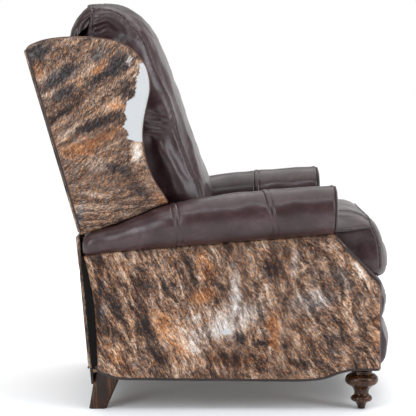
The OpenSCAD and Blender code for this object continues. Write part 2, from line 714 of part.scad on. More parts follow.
module wing_pad(side) {
    color(leather) mirrored(side) upright(wing_in, wing_pad_t) polygon(wing_outline);
}

// Steel plates bolted to the back boards; each turns on a hinge bracket and carries a drive link
module back_brackets() {
    color(steel) both_sides() {
        difference() {
            upright(bracket_w, bracket_t) {
                translate(pivot) circle(d = hinge_eye_d);
                translate(drive_pin) circle(d = eye_d);
                polygon([pivot - [3, 0], drive_pin - [eye_d/2, 0], drive_pin + [eye_d/2, 0],
                    pivot + [hinge_eye_d/2 + 4, -20], on_back(30, back_board_v[1] - 6),
                    on_back(120, back_board_v[1] - 6), on_back(120, back_board_v[0] + 10)]);
            }
            cross_pin(pivot, bracket_w - 1, bracket_t + 2, hinge_pin_d + 2*pin_clear);
        }
        upright(back_board_out, bracket_w - back_board_out) polygon([
            on_back(50, back_board_v[0] + 14), on_back(50, back_board_v[1] - 8),
            on_back(115, back_board_v[1] - 8), on_back(115, back_board_v[0] + 14)]);
        cross_pin(drive_pin, drive_w - stud_end, bracket_w - drive_w + stud_end*2, pin_d);
    }
}

module drive_links() {
    color(steel) both_sides() upright(drive_w, link_t)
        link_shape(drive_pin, drive_end, bore_d, pin_d + 2*free_clear, drive_slot);
}

module swing_links() {
    color(steel) both_sides() {
        upright(layer[1], link_t) link_shape(swing_pivot, tie_pivot, bore_d, 0);
        cross_pin(swing_end, layer[1] + link_t - stud_end, layer[2] - layer[1] + stud_end*2, pin_d);
        cross_pin(tie_pivot, layer[1], layer[4] - layer[1] + link_t + stud_end, pin_d);
    }
}

module torque_tube() {
    wall = 2;
    color(steel) difference() {
        cross_pin(tube_centre, -layer[1], 2*layer[1], tube_d);
        cross_pin(tube_centre, -layer[1] - 1, 2*layer[1] + 2, tube_d - 2*wall);
    }
}

module lift_links() {
    color(steel) both_sides() {
        difference() {
            upright(layer[2], link_t) link_shape(steady_end, lift_end, 0, 0);
            cross_pin(swing_end, layer[2] - 1, link_t + 2, bore_d);
        }
        for (p = [steady_end, lift_end]) cross_pin(p, layer[2], layer[3] - layer[2] + link_t + stud_end, pin_d);
    }
}

module steady_links() {
    color(steel) both_sides() upright(layer[3], link_t)
        link_shape(steady_pivot, steady_end, bore_d, pin_d + 2*steady_clear, steady_slot);
}

module tie_links() {
    color(steel) both_sides() upright(layer[4], link_t)
        link_shape(tie_pivot, tie_end, bore_d, pin_d + 2*free_clear);
}

board_front_x = seat_front_x - footrest_pad_t;
board_rear_x = board_front_x - footrest_board_t;

module footrest_board() {
    color(wood) translate([board_rear_x, -footrest_w/2, footrest_low_z + 3])
        cube([footrest_board_t, footrest_w, footrest_top_z - footrest_low_z - 6]);
}

// One padded roll of the footrest, between two heights
module footrest_pad(low, high) {
    half = footrest_w/2 + 5;
    x0 = board_front_x + soft_gap;
    x1 = seat_front_x;
    mid = [[x0, low], [x1, low], [x1, high], [x0, high]];
    edge = [[x0, low + 3], [x1 - 14, low + 3], [x1 - 14, high - 3], [x0, high - 3]];
    radii = [4, 30, 30, 4];
    half_ys = [0.3, 0.6, 0.84, 0.96, 1];
    half_insets = [0, 0, 0, 2, 9];
    count = len(half_ys);
    ys = concat([for (i = [count - 1:-1:0]) -half_ys[i]], [0], half_ys);
    insets = concat([for (i = [count - 1:-1:0]) half_insets[i]], [0], half_insets);
    color(leather) cushion(mid, edge, radii, half, ys, insets, 3, 3);
}

module footrest_upper_pad() {
    footrest_pad(footrest_split_z + soft_gap, footrest_top_z);
}

module footrest_lower_pad() {
    footrest_pad(footrest_low_z, footrest_split_z - soft_gap);
}

module footrest_brackets() {
    flange_t = 3;
    flange_w = 22;
    low_z = tie_end.y - 22;
    color(steel) both_sides() {
        difference() {
            upright(layer[3], link_t) {
                translate(lift_end) circle(d = eye_d);
                translate(tie_end) circle(d = eye_d);
                polygon([[board_rear_x, low_z], tie_end - [0, eye_d/2], tie_end - [eye_d/2, 0],
                    lift_end - [eye_d/2, 0], lift_end + [eye_d/2, 0], [board_rear_x, footrest_top_z - 6]]);
            }
            cross_pin(lift_end, layer[3] - 1, link_t + 2, bore_d);
        }
        translate([board_rear_x - flange_t, layer[3] - flange_w, low_z])
            cube([flange_t, flange_w + link_t, footrest_top_z - 6 - low_z]);
        cross_pin(tie_end, layer[3], layer[4] - layer[3] + link_t + stud_end, pin_d);
    }
}

front_leg(-1);  // front_leg_right
front_leg(1);  // front_leg_left
rear_leg(-1);  // rear_leg_right
rear_leg(1);  // rear_leg_left
leg_bolts();
side_panel(-1);  // side_panel_right
side_panel(1);  // side_panel_left
arm_roll(-1);  // arm_roll_right
arm_roll(1);  // arm_roll_left
arm_inner_pad(-1);  // arm_inner_pad_right
arm_inner_pad(1);  // arm_inner_pad_left
arm_facing(-1);  // arm_facing_right
arm_facing(1);  // arm_facing_left
front_post(-1);  // front_post_right
front_post(1);  // front_post_left
rear_post(-1);  // rear_post_right
rear_post(1);  // rear_post_left
arm_rail(-1);  // arm_rail_right
arm_rail(1);  // arm_rail_left
side_board(-1);  // side_board_right
side_board(1);  // side_board_left
rear_gussets();
rear_panel();
rear_hem();
front_cross_rail();
rear_cross_rail();
glide_rails();
hinge_brackets();
seat_rail(-1);  // seat_rail_right
seat_rail(1);  // seat_rail_left
seat_front_rail();
seat_rear_rail();
seat_springs();
seat_deck();
seat_cushion();
seat_plates();
glide_shoes();
back_board(-1);  // back_board_right
back_board(1);  // back_board_left
back_top_rail();
back_bottom_rail();
back_webbing();
back_cushion();
head_flap();
outside_back();
wing_panel(-1);  // wing_panel_right
wing_panel(1);  // wing_panel_left
wing_pad(-1);  // wing_pad_right
wing_pad(1);  // wing_pad_left
back_brackets();
drive_links();
swing_links();
torque_tube();
lift_links();
steady_links();
tie_links();
footrest_board();
footrest_upper_pad();
footrest_lower_pad();
footrest_brackets();
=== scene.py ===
# %% [markdown]
# A high-leg wing recliner, dressed in dark leather and hair-on hide.
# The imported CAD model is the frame: it holds every measure and every joint. This lesson builds
# the visible surfaces round it as numpy grids, gives them procedural finishes, and lets each
# piece ride on the body that carries it.

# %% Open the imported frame
import math

import bpy
import numpy as np
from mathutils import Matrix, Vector
from mathutils.bvhtree import BVHTree


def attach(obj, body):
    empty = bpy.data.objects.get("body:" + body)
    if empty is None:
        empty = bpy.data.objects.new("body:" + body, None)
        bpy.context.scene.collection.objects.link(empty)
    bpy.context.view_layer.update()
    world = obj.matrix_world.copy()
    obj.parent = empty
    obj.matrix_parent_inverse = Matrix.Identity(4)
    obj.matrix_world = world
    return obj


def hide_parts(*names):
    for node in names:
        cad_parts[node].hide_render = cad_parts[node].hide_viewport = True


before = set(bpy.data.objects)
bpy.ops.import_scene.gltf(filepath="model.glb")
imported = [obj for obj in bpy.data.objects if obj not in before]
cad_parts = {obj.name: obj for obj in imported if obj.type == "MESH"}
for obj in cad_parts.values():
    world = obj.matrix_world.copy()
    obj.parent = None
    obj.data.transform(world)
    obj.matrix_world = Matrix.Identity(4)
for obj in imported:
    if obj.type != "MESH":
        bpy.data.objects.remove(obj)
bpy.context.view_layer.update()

# %% [markdown]
# The camera stands where the photographer stood: square to the side of the chair, a little
# above the arms, and far enough away that a long lens flattens the depth. Its lens, place and
# tilt were fitted to the photograph. A camera could be aimed with a constraint, but plain
# angles keep the same view in every pose.

# %% Place the camera
camera_data = bpy.data.cameras.new("camera")
camera_data.sensor_width = 36
camera_data.lens = 131.75
camera = bpy.data.objects.new("camera", camera_data)
camera.location = (-0.012, -4.2486, 0.9308)
camera.rotation_euler = (math.radians(84.226), 0, 0)
bpy.context.scene.collection.objects.link(camera)
bpy.context.scene.camera = camera
print("camera at", tuple(camera.location))

# %% [markdown]
# Studio light for upholstery is broad and even, so that dark leather shows long soft highlights
# and the hide keeps its colours. A very soft sun stands in for a white ceiling. A white surround
# fills in from all sides, dimmer overhead and behind the camera, so that the shapes don't go
# flat. Four soft boxes draw the highlights.

# %% Light the studio
scene = bpy.context.scene
scene.view_settings.view_transform = "Standard"
world = bpy.data.worlds.new("studio")
scene.world = world
world.use_nodes = True
air = world.node_tree
heading = air.nodes.new("ShaderNodeTexCoord")
split = air.nodes.new("ShaderNodeSeparateXYZ")
air.links.new(heading.outputs["Generated"], split.inputs[0])


def fading(axis, low, high, at_low, at_high):
    """Strength of the surround, from at_low to at_high as a direction's axis goes from low to high."""
    made = air.nodes.new("ShaderNodeMapRange")
    made.interpolation_type = "SMOOTHSTEP"
    for key, value in (("From Min", low), ("From Max", high), ("To Min", at_low), ("To Max", at_high)):
        made.inputs[key].default_value = value
    air.links.new(split.outputs[axis], made.inputs["Value"])
    return made.outputs[0]


both = air.nodes.new("ShaderNodeMath")
both.operation = "MULTIPLY"
air.links.new(fading("Z", 0.08, 0.45, 1.0, 0.32), both.inputs[0])
air.links.new(fading("Y", -0.85, 0.0, 0.45, 1.0), both.inputs[1])
air.links.new(both.outputs[0], air.nodes["Background"].inputs["Strength"])
air.nodes["Background"].inputs["Color"].default_value = (1, 1, 1, 1)


def soft_box(name, place, aim, width, height, watts):
    """Area light at place, turned so that its own -Z axis points at aim."""
    data = bpy.data.lights.new(name, "AREA")
    data.shape = "RECTANGLE"
    data.size = width
    data.size_y = height
    data.energy = watts
    data.color = (0.9, 0.95, 1.0)
    lamp = bpy.data.objects.new(name, data)
    lamp.location = place
    lamp.rotation_euler = (Vector(aim) - Vector(place)).to_track_quat("-Z", "Y").to_euler()
    lamp.visible_camera = False
    scene.collection.objects.link(lamp)


sky = bpy.data.lights.new("ceiling", "SUN")
sky.energy = 2.4
sky.angle = math.radians(80)
ceiling = bpy.data.objects.new("ceiling", sky)
ceiling.rotation_euler = (math.radians(-16), math.radians(6), 0)
scene.collection.objects.link(ceiling)
soft_box("box_over", (-0.1, -1.8, 2.7), (0, 0, 0.6), 2.4, 0.4, 20)
soft_box("box_front", (2.6, -1.7, 1.9), (-0.1, -0.2, 0.7), 1.5, 2.2, 54)
soft_box("box_rear", (-2.1, -2.7, 1.5), (-0.1, -0.2, 0.75), 1.3, 2.0, 46)
soft_box("box_low", (0.0, 2.4, 0.24), (0, 0, 0.0), 1.8, 0.4, 18)
print("lights:", len(bpy.data.lights))

# %% [markdown]
# Every new surface here is a grid of points worked out from a formula. Blender's modelling tools
# could draw them by hand, but a formula keeps each seam where the measures say. Lengths are in
# millimetres, x runs forward, w is the distance to either side of the middle and z is up. The
# grids start from curves, which are given by a few points and filled in at shares of the length.

# %% Curves
MM = 0.001


def eased(count):
    """count shares from 0 to 1, closer together near both ends: t minus 0.8 sin(2 pi t)/(2 pi)."""
    t = np.linspace(0, 1, count)
    return t - 0.8*np.sin(2*np.pi*t)/(2*np.pi)


def chords(points):
    """Lengths between neighbouring points, and the running length at each point."""
    step = np.linalg.norm(np.diff(points, axis=0), axis=1)
    return step, np.r_[0, np.cumsum(step)]


def bent(points, t):
    """Straight runs through the points, at shares t of their whole length."""
    points = np.asarray(points, float)
    run = chords(points)[1]
    return np.stack([np.interp(np.asarray(t)*run[-1], run, axis) for axis in points.T], -1)


def flowing(points, t):
    """Smooth curve through the points, at shares t. Each span is a cubic whose slope at a point
    is the mean of the slopes of the two chords that meet there."""
    p = np.asarray(points, float)
    step, run = chords(p)
    slope = np.diff(p, axis=0)/step[:, None]
    m = np.vstack([slope[:1], (slope[1:] + slope[:-1])/2, slope[-1:]])
    at = np.asarray(t)*run[-1]
    k = np.clip(np.searchsorted(run, at, side="right") - 1, 0, len(step) - 1)
    h = step[k][:, None]
    x = ((at - run[k])/step[k])[:, None]
    return ((2*x**3 - 3*x**2 + 1)*p[k] + (x**3 - 2*x**2 + x)*h*m[k]
            + (3*x**2 - 2*x**3)*p[k + 1] + (x**3 - x**2)*h*m[k + 1])


print("shares bunched at both ends:", eased(7).round(2))

# %% [markdown]
# A grid is spanned between its edge curves. What makes it look upholstered is how far each of
# its points stands out: the skin rolls over at the rim and is never quite even.

# %% Grids and their relief
def patch(low, high, rear, front):
    """Grid between four edge curves: the two ruled surfaces between opposite edges are added,
    and the one through the four corners is taken away."""
    u = eased(len(low))[:, None, None]
    v = eased(len(rear))[None, :, None]
    ruled = (1 - v)*low[:, None] + v*high[:, None] + (1 - u)*rear[None] + u*front[None]
    flat = (1 - u)*(1 - v)*low[0] + u*(1 - v)*low[-1] + (1 - u)*v*high[0] + u*v*high[-1]
    return ruled - flat


def to_rim(face):
    """Distance of each point of a grid from the nearest point of its rim."""
    edge = np.concatenate([face[0], face[-1], face[:, 0], face[:, -1]])
    return np.linalg.norm(face[:, :, None] - edge, axis=-1).min(-1)


def rolled(distance, radius):
    """How far a rounded edge has dropped at a distance from it: r - sqrt(r^2 - (r - d)^2)."""
    short = radius - np.clip(distance, 0, radius)
    return radius - np.sqrt(radius**2 - short**2)


def ripples(at, size, seed):
    """Soft unevenness between about -1 and 1: the sum of sine waves of about one length, whose
    directions come from a seeded generator."""
    waves = 14
    rng = np.random.default_rng(seed)
    turn = rng.normal(size=(waves, at.shape[-1]))
    turn *= 2*np.pi/size*rng.uniform(0.6, 1.6, (waves, 1))/np.linalg.norm(turn, axis=1, keepdims=True)
    return np.sin(at @ turn.T + rng.uniform(0, 2*np.pi, waves)).sum(-1)/math.sqrt(waves)


print("drop of a 6 mm edge, 0 to 6 mm from it:", rolled(np.arange(7), 6).round(1))

# %% [markdown]
# Points don't show until they are joined by faces. Rings of points make a tube, and two grids
# joined at their rims make a sheet. Every part is closed. The left-hand parts are the mirror
# images of the right-hand ones.

# %% Skins over the points
def at_side(places, w):
    """Points of the right-hand side, from places (x, z) and their distances w from the middle."""
    return np.stack([places[..., 0], -np.broadcast_to(w, places.shape[:-1]), places[..., 1]], -1)


def net(rows, cols, around=False):
    """Quads of a grid of rows by cols points, whose columns close into a ring if around."""
    start = cols*np.arange(rows - 1)[:, None]
    j = np.arange(cols if around else cols - 1)[None]
    k = (j + 1) % cols
    return np.stack([start + j, start + k, start + cols + k, start + cols + j], -1).reshape(-1, 4)


def skin(rings, ends=None):
    """Closed skin over rings of points, with a fan to one point at each end."""
    n, m = rings.shape[:2]
    ends = np.array([rings[0].mean(0), rings[-1].mean(0)]) if ends is None else np.asarray(ends, float)
    j = np.arange(m)
    k = (j + 1) % m
    first = np.stack([np.full(m, n*m), k, j], -1)
    last = np.stack([np.full(m, n*m + 1), (n - 1)*m + j, (n - 1)*m + k], -1)
    return np.vstack([rings.reshape(-1, 3), ends]), [net(n, m, True), np.vstack([first, last])]


def sheet(outer, inner):
    """Closed sheet between two grids of points of one size, with a strip that joins their rims."""
    nu, nv = outer.shape[:2]
    index = np.arange(nu*nv).reshape(nu, nv)
    rim = np.concatenate([index[:-1, 0], index[-1, :-1], index[:0:-1, -1], index[0, :0:-1]])
    after = np.roll(rim, -1)
    strip = np.stack([rim, after, after + nu*nv, rim + nu*nv], -1)
    return (np.concatenate([outer, inner]).reshape(-1, 3),
            [net(nu, nv), net(nu, nv)[:, ::-1] + nu*nv, strip[:, ::-1]])


def slab(face, outer, inner):
    """Sheet of the right-hand side: face is a grid of (x, z), and outer and inner are the
    distances across at which its two skins lie."""
    return sheet(at_side(face, outer), at_side(face, inner))


def frames(path, up):
    """Two unit vectors square to a path at each point, the first also square to up."""
    along = np.gradient(path, axis=0)
    along /= np.linalg.norm(along, axis=1, keepdims=True)
    side = np.cross(along, np.asarray(up, float))
    side /= np.linalg.norm(side, axis=1, keepdims=True)
    return side, np.cross(side, along)


def rope(path, radius, up=(0, 1, 0), sides=10):
    """Round tube along a path: a circle carried along it and shrunk to round ends."""
    path = np.asarray(path, float)
    side, lift = frames(path, up)
    angle = 2*np.pi*np.arange(sides)/sides
    size = np.full(len(path), float(radius))
    size[[0, -1]] *= 0.5
    size[[1, -2]] *= 0.9
    rings = path[:, None] + size[:, None, None]*(
        np.cos(angle)[None, :, None]*side[:, None] + np.sin(angle)[None, :, None]*lift[:, None])
    return skin(rings)


def mirrored(part):
    """The same part on the other side of the chair."""
    verts, faces = part
    return verts*[1, -1, 1], [f[:, ::-1] for f in faces]


print("faces of a grid of 3 by 4 points:", len(net(3, 4)))

# %% [markdown]
# A piece is one mesh of one or more closed parts. It is written straight from its arrays, which
# is much quicker than adding points one by one. Each piece then rides on a body of the frame, and
# the CAD nodes that it stands for are hidden.

# %% Put a mesh in the scene
def facing_out(part):
    """The part with its faces turned round if its volume, the sum of a . (b x c)/6, is negative."""
    verts, faces = part
    tris = np.vstack([f[:, [0, k, k + 1]] for f in faces for k in range(1, f.shape[1] - 1)])
    a, b, c = (verts[tris[:, k]] for k in range(3))
    if (a*np.cross(b, c)).sum() < 0:
        faces = [f[:, ::-1] for f in faces]
    return verts, faces


def make_mesh(name, parts):
    """One mesh, in metres, of parts whose points are in millimetres."""
    parts = [facing_out(part) for part in parts]
    start = np.cumsum([0] + [len(verts) for verts, _ in parts])
    verts = np.vstack([verts for verts, _ in parts])*MM
    faces = [f + s for (_, group), s in zip(parts, start) for f in group]
    corners = np.concatenate([f.ravel() for f in faces])
    sizes = np.concatenate([np.full(len(f), f.shape[1]) for f in faces])
    mesh = bpy.data.meshes.new(name)
    mesh.vertices.add(len(verts))
    mesh.vertices.foreach_set("co", verts.ravel())
    mesh.loops.add(len(corners))
    mesh.loops.foreach_set("vertex_index", corners)
    mesh.polygons.add(len(sizes))
    mesh.polygons.foreach_set("loop_start", np.r_[0, np.cumsum(sizes)[:-1]])
    mesh.update(calc_edges=True)
    mesh.shade_smooth()
    return mesh


def add(name, parts, body, finish, covers=(), bevel=0):
    """New piece that rides on a body, with its finish; the CAD nodes that it stands for are hidden."""
    piece = bpy.data.objects.new(name, make_mesh(name, parts))
    scene.collection.objects.link(piece)
    piece.data.materials.append(finish)
    if bevel:
        edge = piece.modifiers.new("bevel", "BEVEL")
        edge.width = bevel*MM
        edge.segments = 3
        edge.limit_method = "ANGLE"
    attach(piece, body)
    if covers:
        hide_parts(*covers)


def add_both(name, part, body, finish, node, far=None, bevel=0):
    """A right-hand piece and its mirror image, which has the finish far where one is given."""
    add(f"{name}_right", [part], body, finish, [f"{node}_right"], bevel)
    add(f"{name}_left", [mirrored(part)], body, far or finish, [f"{node}_left"], bevel)


# %% [markdown]
# A finish is a small network of nodes. Written out, each node takes a few lines, so one helper
# makes a node and fills or links its inputs. Colours are linear, as the renderer counts them.

# %% Helpers for finishes
def node(tree, kind, inputs=None, **settings):
    """New shader node; its inputs are values or other nodes' outputs. Returns its outputs."""
    made = tree.nodes.new("ShaderNode" + kind)
    for key, value in settings.items():
        setattr(made, key, value)
    for key, value in (inputs or {}).items():
        if isinstance(value, bpy.types.NodeSocket):
            tree.links.new(value, made.inputs[key])
        else:
            made.inputs[key].default_value = value
    return made.outputs


def colour(rgb):
    """The colour with its alpha."""
    return (*rgb, 1)


def ramp(tree, factor, stops):
    """Colour ramp with stops of (place, colour)."""
    made = tree.nodes.new("ShaderNodeValToRGB")
    tree.links.new(factor, made.inputs["Fac"])
    marks = made.color_ramp.elements
    while len(marks) < len(stops):
        marks.new(1)
    for mark, (place, rgb) in zip(marks, stops):
        mark.position = place
        mark.color = colour(rgb)
    return made.outputs["Color"]


def blend_colours(tree, factor, a, b, how="MIX"):
    """Colour from a to b by factor; each is a value or another node's output."""
    a = a if isinstance(a, bpy.types.NodeSocket) else colour(a)
    b = b if isinstance(b, bpy.types.NodeSocket) else colour(b)
    return node(tree, "Mix", {0: factor, 6: a, 7: b}, data_type="RGBA", blend_type=how)[2]


def remap(tree, value, low, high, to_low=0.0, to_high=1.0):
    """to_low up to low, to_high from high on, and a straight line between."""
    return node(tree, "MapRange", {"Value": value, "From Min": low, "From Max": high,
                                   "To Min": to_low, "To Max": to_high})[0]


def maths(tree, how, a, b):
    """One operation on two values."""
    return node(tree, "Math", {0: a, 1: b}, operation=how)[0]


def plus(tree, a, b, times):
    """a plus b times a number."""
    return maths(tree, "ADD", a, maths(tree, "MULTIPLY", b, times))


def new_finish(name):
    """Empty material, its tree, its object coordinates and its main shader node."""
    finish = bpy.data.materials.new(name)
    finish.use_nodes = True
    tree = finish.node_tree
    tree.nodes.clear()
    shader = tree.nodes.new("ShaderNodeBsdfPrincipled")
    out = tree.nodes.new("ShaderNodeOutputMaterial")
    tree.links.new(shader.outputs["BSDF"], out.inputs["Surface"])
    return finish, tree, node(tree, "TexCoord")["Object"], shader


def bumped(tree, shader, layers):
    """Bumps chained onto the shader, each (height, strength, distance in metres)."""
    normal = None
    for height, strength, distance in layers:
        inputs = {"Height": height, "Strength": strength, "Distance": distance}
        if normal is not None:
            inputs["Normal"] = normal
        normal = node(tree, "Bump", inputs)["Normal"]
    tree.links.new(normal, shader.inputs["Normal"])


def noise(tree, at, scale, detail, rough=0.5, warp=0.0):
    """Cloudy value between 0 and 1, with detail finer layers, each rough times as strong."""
    return node(tree, "TexNoise", {"Vector": at, "Scale": scale, "Detail": detail,
                                   "Roughness": rough, "Distortion": warp})[0]


# %% [markdown]
# The leather is a dark grey-brown aniline hide: cloudy in colour, a little worn and greyer where
# it is handled, with a fine pebble grain and small creases. Photographs of leather would give
# that at once, but a procedural one has no edges or repeats. Cell noise makes the pebbles.

# %% Leather
# Colour of the painted shade in the valleys of seams on sewn leather.
SEAM_PAINTED_SHADE = (0.006, 0.003, 0.003)


def leather(name, dark, middle, worn, rough, sewn=False):
    """Sewn leather reads each point's distance from its seam, in millimetres, folds in there and has painted
    shade that darkens the seam's valley.
    """
    finish, tree, at, shader = new_finish(name)
    cloud = noise(tree, at, 9, 5, 0.6, 0.4)
    speck = noise(tree, at, 75, 4, 0.6)
    tone = plus(tree, maths(tree, "MULTIPLY", cloud, 0.7), speck, 0.3)
    body = ramp(tree, tone, [(0.36, dark), (0.5, middle), (0.66, worn)])
    pebbles = node(tree, "TexVoronoi", {"Vector": at, "Scale": 620.0}, feature="SMOOTH_F1")["Distance"]
    pores = remap(tree, pebbles, 0.15, 0.6, 0.82, 1.06)
    creases = noise(tree, at, 140, 6, 0.65, 0.9)
    dents = noise(tree, at, 34, 3, 0.5, 0.3)
    tree.links.new(remap(tree, tone, 0.35, 0.68, rough + 0.07, rough - 0.07), shader.inputs["Roughness"])
    shader.inputs["Specular IOR Level"].default_value = 0.45
    shader.inputs["Coat Weight"].default_value = 0.06
    shader.inputs["Coat Roughness"].default_value = 0.25
    layers = [(dents, 0.35, 0.0018), (creases, 0.3, 0.0007), (pebbles, 0.35, 0.0003)]
    if sewn:
        away = maths(tree, "ABSOLUTE", node(tree, "Attribute", attribute_name="seam")["Fac"], 0)
        fold = node(tree, "MapRange", {"Value": away, "From Max": 2.4}, interpolation_type="SMOOTHSTEP")[0]
        layers.insert(0, (fold, 1.0, 0.0025))
        # Painted shade: the colour darkens towards the middle of a seam's valley.
        body = blend_colours(tree, remap(tree, away, 0.4, 1.9, 0.85, 0.0), body, SEAM_PAINTED_SHADE)
    tree.links.new(blend_colours(tree, 1.0, body, pores, "MULTIPLY"), shader.inputs["Base Color"])
    bumped(tree, shader, layers)
    return finish


LEATHER_TONES = (0.018, 0.0066, 0.0066), (0.035, 0.0145, 0.0155), (0.068, 0.037, 0.041)
LEATHER_ROUGH = 0.31
LEATHER = leather("leather", *LEATHER_TONES, LEATHER_ROUGH)
SEWN_LEATHER = leather("sewn_leather", *LEATHER_TONES, LEATHER_ROUGH, sewn=True)
WELT = leather("welt_leather", (0.010, 0.004, 0.004), (0.018, 0.009, 0.008), (0.034, 0.02, 0.019), 0.42)
RUST = leather("rust_edge", (0.03, 0.011, 0.006), (0.09, 0.034, 0.015), (0.19, 0.08, 0.036), 0.6)
print("leathers:", [finish.name for finish in (LEATHER, SEWN_LEATHER, WELT, RUST)])

# %% [markdown]
# Hair-on hide is brindled: tufts of black-brown, orange, tan and grey hair lie along one
# direction, and broad bands and patches of one colour run through them. Hair strands could be
# grown on the panels, but they are short and flat and there would be millions. Here noise that
# is stretched along the hair makes tufts and bands, and soft ovals with ragged edges make the
# patches that the real skin has; a few ovals are painted shade and painted reflections instead.
# White spots are ovals too, and the white blaze is everything in front of a ragged line. Three
# ramps run from dark to light hair: brown, orange and grey.

# %% Hair-on hide
HAIR = [(0.16, (0.008, 0.005, 0.004)), (0.32, (0.047, 0.028, 0.021)), (0.44, (0.14, 0.087, 0.06)),
        (0.54, (0.285, 0.18, 0.122)), (0.65, (0.47, 0.34, 0.25)), (0.78, (0.67, 0.56, 0.47)),
        (0.92, (0.82, 0.76, 0.71))]
WARM = [(0.16, (0.03, 0.011, 0.005)), (0.38, (0.22, 0.08, 0.028)), (0.56, (0.48, 0.215, 0.085)),
        (0.74, (0.68, 0.42, 0.26)), (0.92, (0.82, 0.7, 0.58))]
ASH = [(0.16, (0.012, 0.01, 0.012)), (0.4, (0.075, 0.062, 0.06)), (0.6, (0.22, 0.19, 0.18)),
       (0.8, (0.54, 0.49, 0.46)), (0.92, (0.74, 0.71, 0.69))]
WHITE_HAIR = (0.44, 0.45, 0.46), (0.54, 0.545, 0.55)
BLAZE_HAIR = (0.42, 0.43, 0.44), (0.52, 0.525, 0.53)
TUFT, FINE_TUFT = (12, 3.6), (5.5, 1.7)
TUFT_WEIGHT, FINE_WEIGHT = 0.9, 0.85
LAY_BLEND = 60
BLAZE_RAGGED = 22
NO_LIMIT = 1000


def along_hair(tree, at, angle, length, width):
    """Coordinates with x along the hair and z across it, counted in tufts; the angle is in
    degrees, anticlockwise from forward as seen from the chair's right."""
    return node(tree, "Mapping", {"Vector": at, "Rotation": (0, -math.radians(angle), 0),
                                  "Scale": (length*MM, width*MM, width*MM)}, vector_type="TEXTURE")[0]


def wander(tree, at, scale, detail, rough=0.5):
    """Noisy direction at each place, whose parts lie about zero."""
    noisy = node(tree, "TexNoise", {"Vector": at, "Scale": scale, "Detail": detail, "Roughness": rough})[1]
    return node(tree, "VectorMath", {0: noisy, 1: (0.5, 0.5, 0.5)}, operation="SUBTRACT")[0]


def pushed(tree, at, direction, amount):
    """The coordinates at, moved by amount metres along a noisy direction."""
    return node(tree, "VectorMath", {0: direction, 1: (amount,)*3, 2: at}, operation="MULTIPLY_ADD")[0]


def oval(tree, at, x, z, long, high, tilt):
    """Distance from the middle of a tilted oval, counted in its half sizes: it is 1 on the edge.
    The distance across the chair doesn't count."""
    local = node(tree, "Mapping", {"Vector": at, "Location": (x*MM, 0, z*MM),
                                   "Rotation": (0, -math.radians(tilt), 0),
                                   "Scale": (long*MM, NO_LIMIT, high*MM)}, vector_type="TEXTURE")[0]
    return node(tree, "VectorMath", {0: local}, operation="LENGTH")["Value"]


def ahead_of(tree, at, line):
    """How far each place lies in front of a line of (x, z), in millimetres. The line is a curve
    node over height, which runs over 0 to 1 in both directions."""
    line = np.array(sorted(line, key=lambda point: point[1]), float)
    (x0, z0), (x1, z1) = line.min(0), line.max(0)
    axes = node(tree, "SeparateXYZ", {0: at})
    curve = node(tree, "FloatCurve", {"Value": remap(tree, axes["Z"], z0*MM, z1*MM)})
    mapping = curve[0].node.mapping
    points = mapping.curves[0].points
    spots = [((z - z0)/(z1 - z0), (x - x0)/(x1 - x0)) for x, z in line]
    for spot in spots[1:-1]:
        points.new(*spot)
    points[0].location = spots[0]
    points[len(points) - 1].location = spots[-1]
    for point in points:
        point.handle_type = "VECTOR"
    mapping.update()
    edge = maths(tree, "ADD", maths(tree, "MULTIPLY", curve[0], (x1 - x0)*MM), x0*MM)
    return maths(tree, "MULTIPLY", maths(tree, "SUBTRACT", axes["X"], edge), 1/MM)


